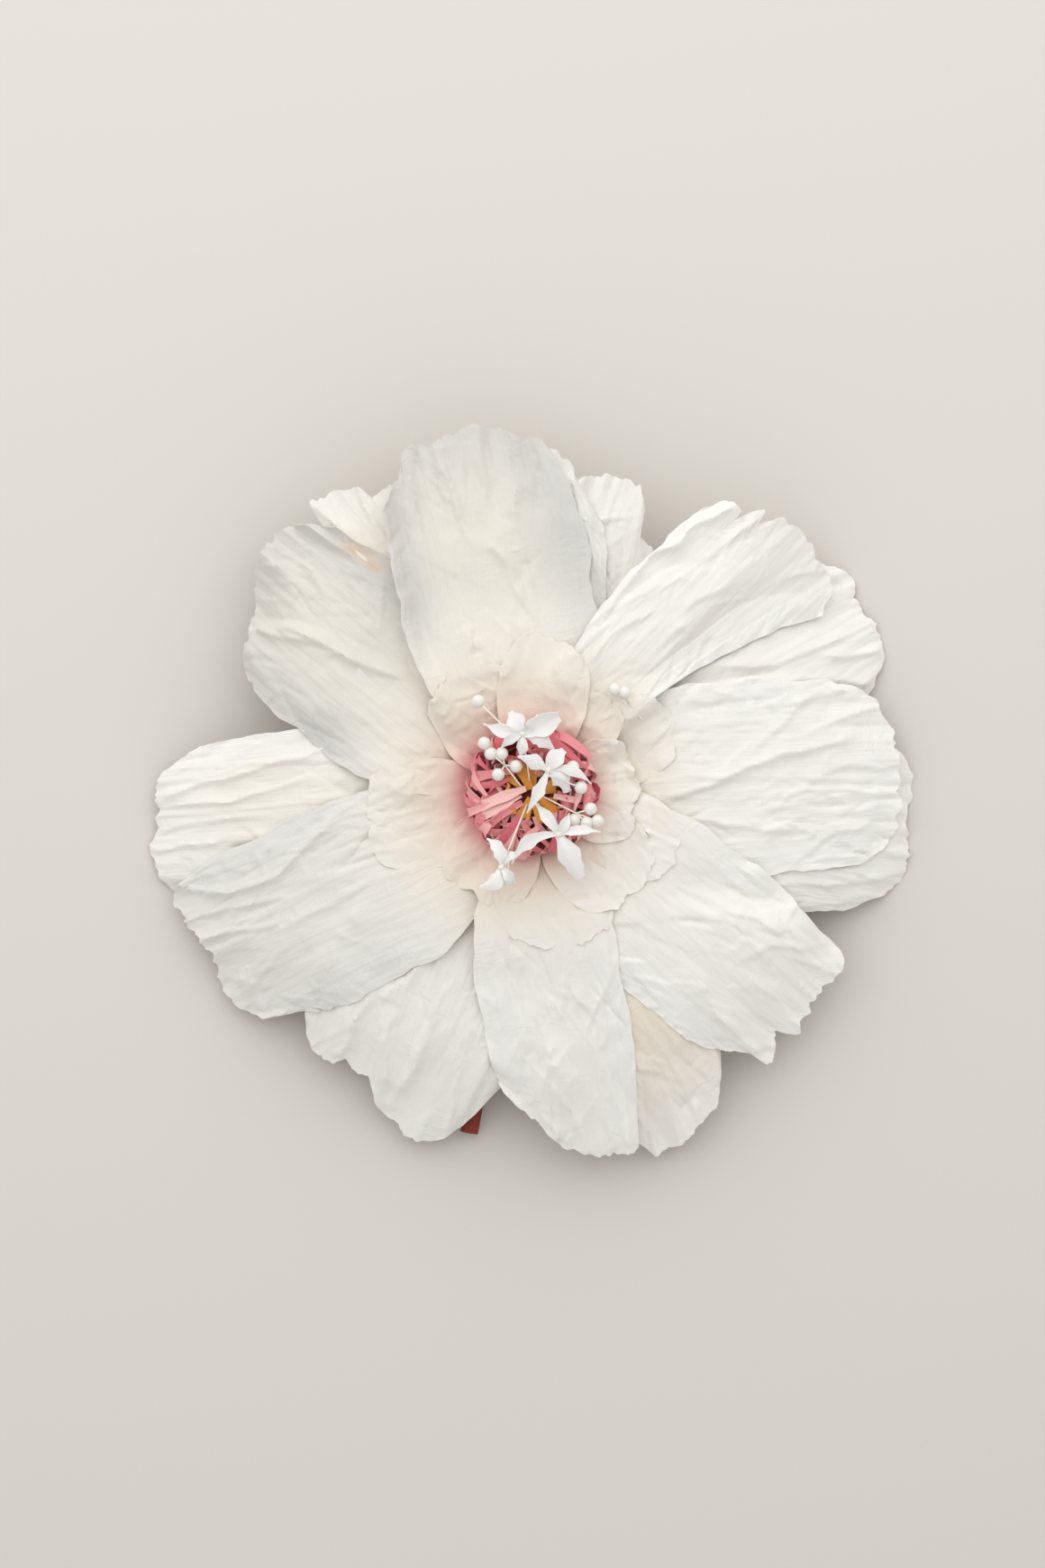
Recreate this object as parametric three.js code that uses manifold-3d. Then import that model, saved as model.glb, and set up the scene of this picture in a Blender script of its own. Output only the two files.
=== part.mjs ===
// A crepe paper peony. It lies face up, with its short wired stem folded flat beneath the petals.
// Millimetres, +Z up. The flower's own axis is vertical, and +Y is the top of the flower as it is looked at.
import * as THREE from "three";
import { mergeVertices } from "three/addons/utils/BufferGeometryUtils.js";
import Module from "manifold-3d";

const wasm = await Module();
wasm.setup();

// Driving dimensions
const FLOWER_RADIUS = 92; // from the axis to the longest petal tip
const PAPER = 0.4; // thickness of the stretched crepe paper
const GAP = 0.3; // left between pieces that are glued face to face
const CLAW_RADIUS = 5; // where the petals' narrow ends meet the neck of the core
const CLAW_HALF_WIDTH = 2.2;
const CLAW_HEIGHT = 12; // height of the lowest petal's claw above the table

// The stack of petals is a set of nested bowls. A petal's level says which bowl it lies in.
const LEVEL_STEP = 1; // rise of one level at the claws
const LEVEL_SPREAD = 3.5; // further rise of one level at the tips
const NEST_LEVEL = 4.8; // the small petals above this level lie closer together
const NEST_SPREAD = 2;
const CUP_RISE = 12; // how far the petals climb round the centre
const CUP_STEEPNESS = 6;
const DROOP = 24; // how far the lowest petals fall again towards their tips
const DROOP_POWER = 2.2;
const UPPER_RISE = 14; // the petals at the top of the flower stand up by this much at their tips
const UPPER_TURN = 103; // compass direction of the highest tip, in degrees
const UPPER_FOCUS = 3; // how quickly the rise dies away on either side of it
const PLEAT = 1.4; // half height of a pleat at a long petal's tip
const FULL_PLEAT_REACH = 60; // petals shorter than this have lower pleats
const SHOULDER = 0.15; // how much shorter a petal is at its corners than in the middle
const SHOULDER_POWER = 3;
const TAPER = 0.12; // how much narrower a petal is at its tip than at its broadest
const ROW_GRADING = 1.25; // sets a petal's rows closer together near the claw

// The centre
const CORE_RADIUS = 11;
const CORE_TOP = 30;
const SPRAY_FOOT_RADIUS = 1.8; // ring on the core's top where the sprays are glued in
const THREAD_RISE = 5; // the sprays rise this far before they arch out over the fringes
const THREAD_RADIUS = 0.35;
const THREAD_SIDES = 4;
const BUD_RADIUS = 1.5;
const BLOSSOM_HEART = 1.1; // radius of the bead in the middle of a blossom

// The stem
const WIRE_RADIUS = 0.7;
const STEM_RADIUS = 2.2; // over the paper tape wound round the wire
const STEM_BORE = 1.2; // inside the tape
const STEM_TOP = 10.2; // the tape stops under the core, and the wire goes on into it
const WIRE_TOP = 24;
const STEM_BEND = 8; // radius of the fold under the flower
const STEM_REACH = 82.5; // from the axis to the cut end
const STEM_TURN = -100.4; // compass direction of the cut end, in degrees

// Colours and finish
const paper = (color) => new THREE.MeshStandardMaterial({ color, roughness: 0.9, metalness: 0 });
const WHITE_PAPER = paper(0xefede8);
const BLUSH_PAPER = paper(0xe6dccb);
const PINK_PAPER = paper(0xdd9195);
const OCHRE_PAPER = paper(0xc38238);
const CORE_PAPER = paper(0x963f31);
const STEM_PAPER = paper(0x8a3f30);
const SEPAL_PAPER = paper(0x8d9468);
const BUD_FINISH = new THREE.MeshStandardMaterial({ color: 0xefece4, roughness: 0.55, metalness: 0 });
const WIRE = new THREE.MeshStandardMaterial({ color: 0x8f8f8c, roughness: 0.4, metalness: 1 });

// Petals. turn is the compass direction of the tip in degrees (0 is +X, anticlockwise) and reach its distance
// from the axis. left and right are the widths on either side of the midline, as seen from the claw looking
// out. fullness says how soon a petal widens, and pleats how many folds run across its tip.
const GUARD_PETALS = [
  { turn: -8, reach: 92, left: 25, right: 20, level: 0.8, fullness: 4, pleats: 2, rests: true },
  { turn: 27, reach: 92, left: 21, right: 20, level: 1.6, fullness: 4, pleats: 2.5, rests: true },
  { turn: 74, reach: 78.5, left: 18, right: 18, level: 0.8, fullness: 4, pleats: 1.5 },
  { turn: 90, reach: 84, left: 20, right: 18, level: 2.4, fullness: 4, pleats: 2.5 },
  { turn: 124, reach: 86, left: 20, right: 21, level: 1.6, fullness: 4, pleats: 2 },
  { turn: -176, reach: 92, left: 25, right: 19, level: 0.8, fullness: 4, pleats: 2, rests: true },
  { turn: -113, reach: 86, left: 26, right: 31, level: 1.3, fullness: 3, pleats: 2.5 },
  { turn: -65, reach: 91, left: 17, right: 19, level: 2.4, fullness: 4, pleats: 2 },
];
const MAIN_PETALS = [
  { turn: 2, reach: 89, left: 25.5, right: 22, level: 2.4, fullness: 5, pleats: 2.5 },
  { turn: 46, reach: 89, left: 19.5, right: 23, level: 4.8, fullness: 5, rightFullness: 1, pleats: 1.5 },
  { turn: 104, reach: 85, left: 20, right: 27, level: 4, fullness: 5, pleats: 2 },
  { turn: 141, reach: 82, left: 24, right: 22, level: 3.2, fullness: 5, pleats: 1.5 },
  { turn: -154, reach: 90, left: 26.5, right: 17, level: 2.4, fullness: 5, pleats: 2 },
  { turn: -81, reach: 88, left: 14.5, right: 20, level: 4, fullness: 6, pleats: 2.5 },
  { turn: -41, reach: 87, left: 22, right: 21, level: 3.2, fullness: 5, pleats: 1.5 },
];
// The small blush petals lie round the centre. Each one settles at its tip to a lower level, on the petals
// beneath it, apart from the innermost one, which stands up by its own lift.
const BLUSH_PETALS = [
  { turn: 2, reach: 24, left: 12.5, right: 12.5, level: 7.2, fullness: 4, pleats: 1.5, lift: 3 },
  { turn: 30, reach: 36, left: 11, right: 11, level: 5.6, settles: 5.4, fullness: 4, pleats: 1 },
  { turn: 60, reach: 29, left: 11, right: 11, level: 6.4, settles: 6.3, fullness: 4, pleats: 2 },
  { turn: 84, reach: 36, left: 11, right: 11, level: 7.2, settles: 6.7, fullness: 4, pleats: 1 },
  { turn: 122, reach: 32, left: 12, right: 12, level: 5.6, settles: 4.8, fullness: 4, pleats: 1.5 },
  { turn: -168, reach: 37, left: 13, right: 13, level: 4.8, settles: 3.9, fullness: 4, pleats: 1.5 },
  { turn: -122, reach: 27, left: 12, right: 12, level: 7.2, settles: 6.4, fullness: 4, pleats: 1 },
  { turn: -77, reach: 38, left: 15, right: 15, level: 5.6, settles: 4.8, fullness: 4, pleats: 1.5 },
  { turn: -43, reach: 33, left: 12.5, right: 12.5, level: 6.4, settles: 6.1, fullness: 4, pleats: 1.5 },
  { turn: -23, reach: 36, left: 10.5, right: 10, level: 4.8, settles: 4, fullness: 4, pleats: 1 },
];
const SEPAL = { reach: 24, breadth: 11, level: -0.3, count: 5, firstTurn: -64 };

// A fringe is a strip of paper cut into blades and wound once round the core. foot, knee and tip are the
// points of a blade's curve in its own upright plane: a radius, and a height above or below the core's top.
const FRINGES = [
  { name: "pink_fringe_outer", foot: [11.9, -2.9], knee: [20.5, 2.8], tip: [11, 2.4], blades: 20, width: 3.2, sway: 5 },
  { name: "pink_fringe_inner", foot: [8.6, -0.5], knee: [11.4, 3.4], tip: [6, 2.9], blades: 14, width: 2.6, sway: 6 },
  { name: "ochre_fringe", foot: [4.8, 0.7], knee: [5.8, 2.5], tip: [3.2, 2.1], blades: 9, width: 2.2, sway: 6 },
];
const FRINGE_BAND = 0.7; // half height of the uncut edge of a fringe

// Blossoms: where each one's middle is in plan, its height, the direction and angle of its lean, the turn of
// its star, the place of its thread on the ring, and the plan positions of buds that share the thread.
const BLOSSOMS = [
  { at: [-2.1, 14.5], height: 36.5, lean: 100, tilt: 30, spin: 8, foot: 100, buds: [[-12.3, 21.1]] },
  { at: [4.7, 4.7], height: 37.5, lean: -20, tilt: 18, spin: 30, foot: 50, buds: [[11.4, 7.8], [12.6, 1.2]] },
  { at: [6, -9.8], height: 36.5, lean: -60, tilt: 12, spin: 50, foot: -60, buds: [] },
  { at: [-7.2, -16.8], height: 36.5, lean: -120, tilt: 22, spin: 20, foot: -115, buds: [[-4.6, -20.8]] },
];
const BLOSSOM_PETAL = { count: 5, start: 0.5, length: 7.4, halfWidth: 1.35, arch: 1.1, curl: 1.2 };

// Sprigs of buds: the plan positions of the beads, all on one forked thread.
const BUD_SPRIGS = [
  { buds: [[-10.8, 12], [-9.9, 8.6], [-7, 9.8], [-7.8, 4.2], [-4.2, 6.2]], height: 34.8, foot: 160 },
  { buds: [[13.8, -3.4], [16.6, -6.2], [11, -6]], height: 34.8, foot: -10 },
];
// One more sprig is glued between two blush petals, away from the core.
const SIDE_SPRIG = { buds: [[19.4, 23.6], [22.6, 22.4]], height: 36, start: [25.4, 17.2, 32.4] };

const rad = THREE.MathUtils.degToRad;

// Building blocks

// A closed thin solid on either side of point(u, v), with u from 0 to 1 and v from -1 to 1.
function sheet(point, rows, columns, thickness = PAPER) {
  const positions = [];
  const index = [];
  const across = columns + 1;
  const oneSide = (rows + 1) * across;
  const nudge = 1e-3;
  for (const side of [0.5, -0.5]) {
    for (let i = 0; i <= rows; i++) {
      for (let j = 0; j <= columns; j++) {
        const u = i / rows;
        const v = (2 * j) / columns - 1;
        const along = point(u + nudge, v).sub(point(u - nudge, v));
        const over = point(u, v + nudge).sub(point(u, v - nudge));
        const normal = along.cross(over).normalize();
        positions.push(...point(u, v).addScaledVector(normal, side * thickness));
      }
    }
  }
  const quad = (a, b, c, d) => index.push(a, b, c, a, c, d);
  for (let i = 0; i < rows; i++) {
    for (let j = 0; j < columns; j++) {
      const a = i * across + j;
      const b = a + across;
      quad(a, b, b + 1, a + 1);
      quad(oneSide + a, oneSide + a + 1, oneSide + b + 1, oneSide + b);
    }
  }
  const rim = [];
  for (let i = 0; i < rows; i++) rim.push(i * across);
  for (let j = 0; j < columns; j++) rim.push(rows * across + j);
  for (let i = rows; i > 0; i--) rim.push(i * across + columns);
  for (let j = columns; j > 0; j--) rim.push(j);
  rim.forEach((p, k) => {
    const q = rim[(k + 1) % rim.length];
    quad(oneSide + p, oneSide + q, q, p);
  });
  return new THREE.BufferGeometry()
    .setAttribute("position", new THREE.Float32BufferAttribute(positions, 3))
    .setIndex(index);
}

function polygon(radius, sides) {
  const corners = Array.from({ length: sides }, (_, i) => {
    const angle = (2 * Math.PI * i) / sides;
    return new THREE.Vector2(radius * Math.cos(angle), radius * Math.sin(angle));
  });
  return new THREE.Shape(corners);
}

function tube(curve, radius, sides, steps, bore = 0) {
  const section = polygon(radius, sides);
  if (bore) section.holes.push(polygon(bore, sides));
  return new THREE.ExtrudeGeometry(section, { steps, extrudePath: curve });
}

function bead(centre, radius, detail = 1) {
  return new THREE.IcosahedronGeometry(radius, detail).translate(...centre);
}

function solidOf(geometry) {
  const bare = new THREE.BufferGeometry().setAttribute("position", geometry.getAttribute("position"));
  if (geometry.index) bare.setIndex(geometry.index);
  const merged = mergeVertices(bare, 1e-4);
  const mesh = new wasm.Mesh({
    numProp: 3,
    vertProperties: merged.attributes.position.array,
    triVerts: new Uint32Array(merged.index.array),
  });
  return new wasm.Manifold(mesh);
}

function joined(geometries) {
  const mesh = geometries
    .map(solidOf)
    .reduce((whole, next) => whole.add(next))
    .getMesh();
  return new THREE.BufferGeometry()
    .setAttribute("position", new THREE.BufferAttribute(mesh.vertProperties, 3))
    .setIndex(new THREE.BufferAttribute(mesh.triVerts, 1));
}

// Petals

// Rise of a level above the lowest bowl, at the share s of the way from the claws to the tips.
function levelRise(level, s) {
  const spread = LEVEL_SPREAD * Math.min(level, NEST_LEVEL) + NEST_SPREAD * Math.max(0, level - NEST_LEVEL);
  return level * LEVEL_STEP + spread * s;
}

// Height of a level's bowl over a plan position.
function bowlHeight(level, x, y) {
  const r = Math.hypot(x, y);
  const s = Math.max(0, (r - CLAW_RADIUS) / (FLOWER_RADIUS - CLAW_RADIUS));
  const upper = Math.max(0, Math.cos(Math.atan2(y, x) - rad(UPPER_TURN))) ** UPPER_FOCUS;
  return (
    CLAW_HEIGHT +
    levelRise(level, s) +
    CUP_RISE * (1 - Math.exp(-CUP_STEEPNESS * s)) +
    UPPER_RISE * upper * s * s -
    DROOP * s ** DROOP_POWER
  );
}

// A point on a petal that narrows to a claw and has a broad round tip.
function petalPoint(petal, u, v) {
  const side = v > 0 ? petal.left : petal.right;
  const fullness = v > 0 ? petal.fullness : petal.rightFullness ?? petal.fullness;
  const widening = 1 - (1 - Math.min(u, 1)) ** fullness;
  const halfWidth = CLAW_HALF_WIDTH + (side - CLAW_HALF_WIDTH) * widening;
  const across = v * halfWidth * (1 - TAPER * u ** 4);
  const corner = SHOULDER * Math.abs(v) ** SHOULDER_POWER * u * u;
  const along = CLAW_RADIUS + (petal.reach - CLAW_RADIUS) * u * (1 - corner);
  const turn = rad(petal.turn);
  const x = along * Math.cos(turn) - across * Math.sin(turn);
  const y = along * Math.sin(turn) + across * Math.cos(turn);
  const size = Math.min(1, petal.reach / FULL_PLEAT_REACH) ** 2;
  const pleat = PLEAT * size * Math.max(u, 0) ** 1.5 * Math.sin(petal.pleats * Math.PI * v + turn);
  const lift = (petal.lift ?? 0) * u * u;
  const level = THREE.MathUtils.lerp(petal.level, petal.settles ?? petal.level, u ** 4);
  return new THREE.Vector3(x, y, bowlHeight(level, x, y) + pleat + lift);
}

// A resting petal droops further, until the lowest corner of its tip is on the table.
function petalGeometry(petal, rows, columns) {
  const tip = Array.from({ length: columns + 1 }, (_, j) => petalPoint(petal, 1, (2 * j) / columns - 1).z);
  const clear = petal.rests ? Math.min(...tip) - PAPER / 2 : 0;
  const point = (t, v) => {
    const u = Math.max(t, 0) ** ROW_GRADING;
    const p = petalPoint(petal, u, v);
    p.z -= clear * u ** 4;
    return p;
  };
  return sheet(point, rows, columns);
}

// A sepal is a pointed leaf under the lowest petals.
function sepalGeometry(number) {
  const turn = rad(SEPAL.firstTurn + (360 / SEPAL.count) * number);
  const point = (u, v) => {
    const along = CLAW_RADIUS + (SEPAL.reach - CLAW_RADIUS) * u;
    const leaf = Math.sin(Math.PI * (0.1 + 0.88 * u));
    const x = along * Math.cos(turn) - (v * leaf * SEPAL.breadth * Math.sin(turn)) / 2;
    const y = along * Math.sin(turn) + (v * leaf * SEPAL.breadth * Math.cos(turn)) / 2;
    return new THREE.Vector3(x, y, bowlHeight(SEPAL.level, x, y));
  };
  return sheet(point, 5, 4);
}

// Centre

// The core is a wad of paper on a neck, with a blind hole for the stem wire.
function coreGeometry() {
  const bore = WIRE_RADIUS + GAP;
  const neck = CLAW_RADIUS - GAP;
  const profile = [
    [0, WIRE_TOP + GAP],
    [bore, WIRE_TOP + GAP],
    [bore, STEM_TOP + GAP],
    [neck, STEM_TOP + GAP],
    [neck, CORE_TOP - 9.8],
    [CORE_RADIUS, CORE_TOP - 4.1],
    [CORE_RADIUS, CORE_TOP - 3.4],
    [CORE_RADIUS * 0.85, CORE_TOP - 2],
    [CORE_RADIUS * 0.5, CORE_TOP - 0.5],
    [0, CORE_TOP],
  ];
  return new THREE.LatheGeometry(
    profile.map(([r, z]) => new THREE.Vector2(r, z)),
    16,
  ).rotateX(Math.PI / 2);
}

function fringeGeometry({ foot, knee, tip, blades, width, sway }) {
  const [radius, height] = foot;
  const ring = [
    [radius - PAPER, height - FRINGE_BAND],
    [radius + PAPER, height - FRINGE_BAND],
    [radius + PAPER, height + FRINGE_BAND],
    [radius - PAPER, height + FRINGE_BAND],
    [radius - PAPER, height - FRINGE_BAND],
  ].map(([r, z]) => new THREE.Vector2(r, CORE_TOP + z));
  const strip = new THREE.LatheGeometry(ring, blades, Math.PI / blades).rotateX(Math.PI / 2);
  const curve = new THREE.QuadraticBezierCurve(
    ...[foot, knee, tip].map(([r, z]) => new THREE.Vector2(r, CORE_TOP + z)),
  );
  const blade = (number) => (u, v) => {
    const onCurve = curve.getPoint(u);
    const angle = (2 * Math.PI * number) / blades + rad(sway) * u * Math.sin(number * 2.4);
    const half = (v * width * (1 - 0.55 * u * u)) / 2;
    return new THREE.Vector3(
      onCurve.x * Math.cos(angle) - half * Math.sin(angle),
      onCurve.x * Math.sin(angle) + half * Math.cos(angle),
      onCurve.y,
    );
  };
  return joined([strip, ...Array.from({ length: blades }, (_, i) => sheet(blade(i), 3, 1))]);
}

// Sprays

function sprayFoot(turn) {
  return new THREE.Vector3(
    SPRAY_FOOT_RADIUS * Math.cos(rad(turn)),
    SPRAY_FOOT_RADIUS * Math.sin(rad(turn)),
    CORE_TOP + GAP,
  );
}

// A thread rises from its foot and then arches over to its head.
function threadCurve(foot, head, rise) {
  return new THREE.CubicBezierCurve3(
    foot,
    foot.clone().setZ(foot.z + rise),
    foot.clone().lerp(head, 0.7).setZ(head.z + 1),
    head,
  );
}

// A bud is a bead on a straight twig.
function budOn(root, bud, height) {
  const head = new THREE.Vector3(...bud, height);
  return [bead(head, BUD_RADIUS), tube(new THREE.LineCurve3(root, head), THREAD_RADIUS, THREAD_SIDES, 1)];
}

function blossomGeometry({ at, height, lean, tilt, spin, foot, buds }) {
  const centre = new THREE.Vector3(...at, height);
  const axis = new THREE.Vector3(-Math.sin(rad(lean)), Math.cos(rad(lean)), 0);
  const pose = new THREE.Matrix4().makeRotationAxis(axis, rad(tilt)).setPosition(centre);
  const { count, start, length, halfWidth, arch, curl } = BLOSSOM_PETAL;
  const petal = (number) => (u, v) => {
    const turn = rad(spin + (360 / count) * number);
    const along = start + length * u;
    const across = v * halfWidth * Math.sqrt(Math.max(0.02, Math.sin(Math.PI * (0.1 + 0.86 * u))));
    return new THREE.Vector3(
      along * Math.cos(turn) - across * Math.sin(turn),
      along * Math.sin(turn) + across * Math.cos(turn),
      arch * Math.sin(Math.PI * u) - curl * u * u,
    );
  };
  const star = Array.from({ length: count }, (_, i) => sheet(petal(i), 3, 2).applyMatrix4(pose));
  const stalk = tube(threadCurve(sprayFoot(foot), centre, THREAD_RISE), THREAD_RADIUS, THREAD_SIDES, 6);
  const twigs = buds.flatMap((bud) => budOn(centre, bud, height - BUD_RADIUS));
  return joined([bead(centre, BLOSSOM_HEART, 0), stalk, ...star, ...twigs]);
}

function sprigGeometry({ buds, height, foot, start }) {
  const [first, ...others] = buds;
  const root = start ? new THREE.Vector3(...start) : sprayFoot(foot);
  const head = new THREE.Vector3(...first, height);
  const curve = threadCurve(root, head, start ? 0 : THREAD_RISE);
  const fork = curve.getPoint(0.75);
  const twigs = others.flatMap((bud) => budOn(fork, bud, height));
  return joined([bead(head, BUD_RADIUS), tube(curve, THREAD_RADIUS, THREAD_SIDES, 6), ...twigs]);
}

// Stem

// Down from the top, round the fold, and along the table to the cut end.
function stemCurve(topHeight) {
  const away = new THREE.Vector3(Math.cos(rad(STEM_TURN)), Math.sin(rad(STEM_TURN)), 0);
  const top = new THREE.Vector3(0, 0, topHeight);
  const bend = new THREE.Vector3(0, 0, STEM_TOP - GAP);
  const corner = new THREE.Vector3(0, 0, STEM_RADIUS);
  const flat = away.clone().multiplyScalar(STEM_BEND).add(corner);
  const end = away.clone().multiplyScalar(STEM_REACH).add(corner);
  const route = new THREE.CurvePath();
  route.add(new THREE.LineCurve3(top, bend));
  route.add(new THREE.QuadraticBezierCurve3(bend, corner, flat));
  route.add(new THREE.LineCurve3(flat, end));
  return route;
}

// Assembly
const flower = new THREE.Group();

function place(name, geometry, material) {
  const mesh = new THREE.Mesh(geometry, material);
  mesh.name = name;
  flower.add(mesh);
}

GUARD_PETALS.forEach((petal, i) => place(`guard_petal_${i + 1}`, petalGeometry(petal, 6, 10), WHITE_PAPER));
MAIN_PETALS.forEach((petal, i) => place(`petal_${i + 1}`, petalGeometry(petal, 6, 10), WHITE_PAPER));
BLUSH_PETALS.forEach((petal, i) => place(`blush_petal_${i + 1}`, petalGeometry(petal, 4, 8), BLUSH_PAPER));
for (let i = 0; i < SEPAL.count; i++) place(`sepal_${i + 1}`, sepalGeometry(i), SEPAL_PAPER);

place("centre_core", coreGeometry(), CORE_PAPER);
FRINGES.forEach((fringe) =>
  place(fringe.name, fringeGeometry(fringe), fringe.name.startsWith("pink") ? PINK_PAPER : OCHRE_PAPER),
);
BLOSSOMS.forEach((blossom, i) => place(`blossom_${i + 1}`, blossomGeometry(blossom), WHITE_PAPER));
[...BUD_SPRIGS, SIDE_SPRIG].forEach((sprig, i) => place(`bud_sprig_${i + 1}`, sprigGeometry(sprig), BUD_FINISH));

place("stem_wrap", tube(stemCurve(STEM_TOP), STEM_RADIUS, 8, 26, STEM_BORE), STEM_PAPER);
place("stem_wire", tube(stemCurve(WIRE_TOP), WIRE_RADIUS, 6, 30), WIRE);

// The part's origin is on the table, under the middle of the flower's outline.
const box = new THREE.Box3().setFromObject(flower, true);
const middle = box.getCenter(new THREE.Vector3());
flower.children.forEach((piece) => piece.position.set(-middle.x, -middle.y, -box.min.z));

export default flower;
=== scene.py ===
"""Looks of the crepe paper peony, lying face up on a pale table and seen from straight above."""

import math

import bpy
import numpy as np
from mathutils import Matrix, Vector


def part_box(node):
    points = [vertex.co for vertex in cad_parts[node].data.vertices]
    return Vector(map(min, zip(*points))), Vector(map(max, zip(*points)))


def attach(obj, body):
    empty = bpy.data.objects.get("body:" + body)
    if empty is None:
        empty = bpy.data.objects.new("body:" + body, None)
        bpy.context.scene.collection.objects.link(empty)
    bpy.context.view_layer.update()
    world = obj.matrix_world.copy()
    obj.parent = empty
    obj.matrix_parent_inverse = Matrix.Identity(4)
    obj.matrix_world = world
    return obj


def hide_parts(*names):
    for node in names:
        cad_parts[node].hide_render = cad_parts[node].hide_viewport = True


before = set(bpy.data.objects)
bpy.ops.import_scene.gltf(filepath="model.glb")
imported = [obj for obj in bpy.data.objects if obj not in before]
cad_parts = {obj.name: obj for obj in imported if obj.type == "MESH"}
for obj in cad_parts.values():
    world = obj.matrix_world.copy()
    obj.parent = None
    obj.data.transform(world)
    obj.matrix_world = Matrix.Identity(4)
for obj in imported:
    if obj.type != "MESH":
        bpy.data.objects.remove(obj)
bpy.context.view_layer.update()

MM = 0.001
CORE_TOP = 30
core_low, core_high = (np.array(corner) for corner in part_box("centre_core"))
AXIS = (core_low + core_high) / 2
AXIS[2] = core_high[2] - CORE_TOP * MM

# Driving dimensions, in millimetres, in the flower's own frame with its axis at x = y = 0
FLOWER_RADIUS = 92
PAPER = 0.2
LOWEST = PAPER / 2 - AXIS[2] / MM  # middle of a sheet that lies on the table
CLAW_RADIUS = 5
CLAW_HALF_WIDTH = 2.2
CLAW_HEIGHT = 12
LEVEL_STEP = 1
LEVEL_SPREAD = 3.5
NEST_LEVEL = 4.8
NEST_SPREAD = 2
CUP_RISE = 12
CUP_STEEPNESS = 6
DROOP = 24
DROOP_POWER = 2.2
UPPER_RISE = 14
UPPER_TURN = 103
UPPER_FOCUS = 3
SHOULDER = 0.15
TAPER = 0.12
ROOM = 0.3  # share of the space between two levels that one petal's folds may take
SHARP_ANGLE = 60  # edges that turn by more degrees than this stay crisp

# The two kinds of petal: rows and columns, how a sheet sinks, and the ruffle at its tip
SHORT_REACH = 50  # petals shorter than this are the blush ones
LONG = dict(grid=(124, 92), pull=0.9, limit=6, tip_limit=3.5, ruffle=1.4, ruffle_zone=(0.78, 1))
BLUSH = dict(grid=(60, 56), pull=0.97, limit=10, tip_limit=0, ruffle=0.4, ruffle_zone=(0.4, 1))
FINE = 1
ROW_CROWDING = 0.9  # rows lie a little closer together towards the tip
SEPAL_GRID = (24, 14)

# How sheets lie on each other
MAP_CELL = 0.5
MAP_HALF = 110
CLEAR = 0.3  # least distance between the middles of two sheets
SINK_ROUNDS = 60  # how evenly a sheet sinks
TENT_ROUNDS = 24  # how widely a sheet bridges the edge of one under it
NOTHING = -1000  # height of the map where no sheet lies
FREE_HEIGHT = 3  # how near the table a free tip may sag
FREE_SAG = 4  # and how much more than the rest of its petal
OUTER_HALF = 0.5  # the part of a petal from here on shows how far above the others it hangs

# Where features fade in along a petal, from 0 at its claw to 1 at its tip
SINK_ZONE = (0.15, 0.6)
SAG_ZONE = (0.6, 1)
TIP_SINK_ZONE = (0.5, 1)
TEETH_ZONE = (0.82, 1)
CURL_ZONE = (0.15, 0.5)
CRUMPLE_ZONE = (0, 0.3)
CREPE_ZONE = (0.05, 0.4)
CRINKLE_ZONE = (0.1, 0.45)
WAVE_ZONE = (0.25, 0.6)

# Where they fade in across it, from 0 at its midline to 1 at its margin
FRAYED_MARGIN = (0.5, 1)
CURLED_MARGIN = (0.74, 1)
WAVY_MARGIN = (0.55, 1)
SINKING_MARGIN = (-0.2, 0.8)
WHITE_MARGIN = (0.3, 0.9)

# Waves along edges, as (height, spacing)
PLAIN_TIP = (3.5, 14)
TEETH = [(0.6, 2), (0.35, 0.9)]
SIDE_WAVES = [(1, 10), (0.4, 3)]
SIDE_DEPTH = 0.035
RUFFLES = [(1, 6), (0.4, 2.5)]
MARGIN_SPACING = (8, 9)
NICK = dict(depth=2, spacing=3.5, rarity=0.5)
TIP_PARTS = 8  # a tip's broad line is evened out over this part of it
CORNER_JITTER = 0.35

# Folds and wrinkles. A pair is a range to draw from, or the spacing along the petal and across it.
SOFT_FOLD = dict(spacing=4.5, fan=0.25, width=(0.05, 0.14), height=(0.08, 0.3), ways=[1, 1, -0.7],
                 start=(0.05, 0.6), swell=0.4)
CREASE_FADE = (-0.1, 0.5)
CREASE_SHARPNESS = 1.3
CREASE_BEND = 0.8
CREASE_BEND_SPACING = 6
CRUMPLES = [(15, 0.5), (8, 0.3), (4, 0.2)]  # spacing and share of each size
CRUMPLE_TURN = (-0.6, 0.6)
CRUMPLE_STRETCH = 1.7
CRUMPLE_MIDDLE = 0.7
CRUMPLE_HEIGHT = 0.25
CRINKLE = dict(per_mm2=0.075, lean=0.4, fan=0.4, crosswise=0.15, half=(2, 11), cross_share=0.4,
               bow=(-0.02, 0.02), width=(0.6, 2), height=(0.1, 0.5), taper=(0.3, 1))
CRINKLE_PATCH = dict(spacing=(24, 15), fade=(-0.5, 0.5), least=0.3, more=0.9)
CREPE = dict(height=0.15, drift=2, drift_spacing=9, wrinkles=(14, 2.4), fine=(7, 1.3), fine_share=0.5)
CREPE_PATCH = dict(spacing=(22, 16), middle=0.6, change=0.4)

# Where the light comes from, seen from above
LIT_SIDE = (-0.2, 0.98)
STEEP = 0.2  # a crease is this much narrower on its shaded side
STEEPEST = 0.7  # but its shaded side is at least this much as wide as it is tall

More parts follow.
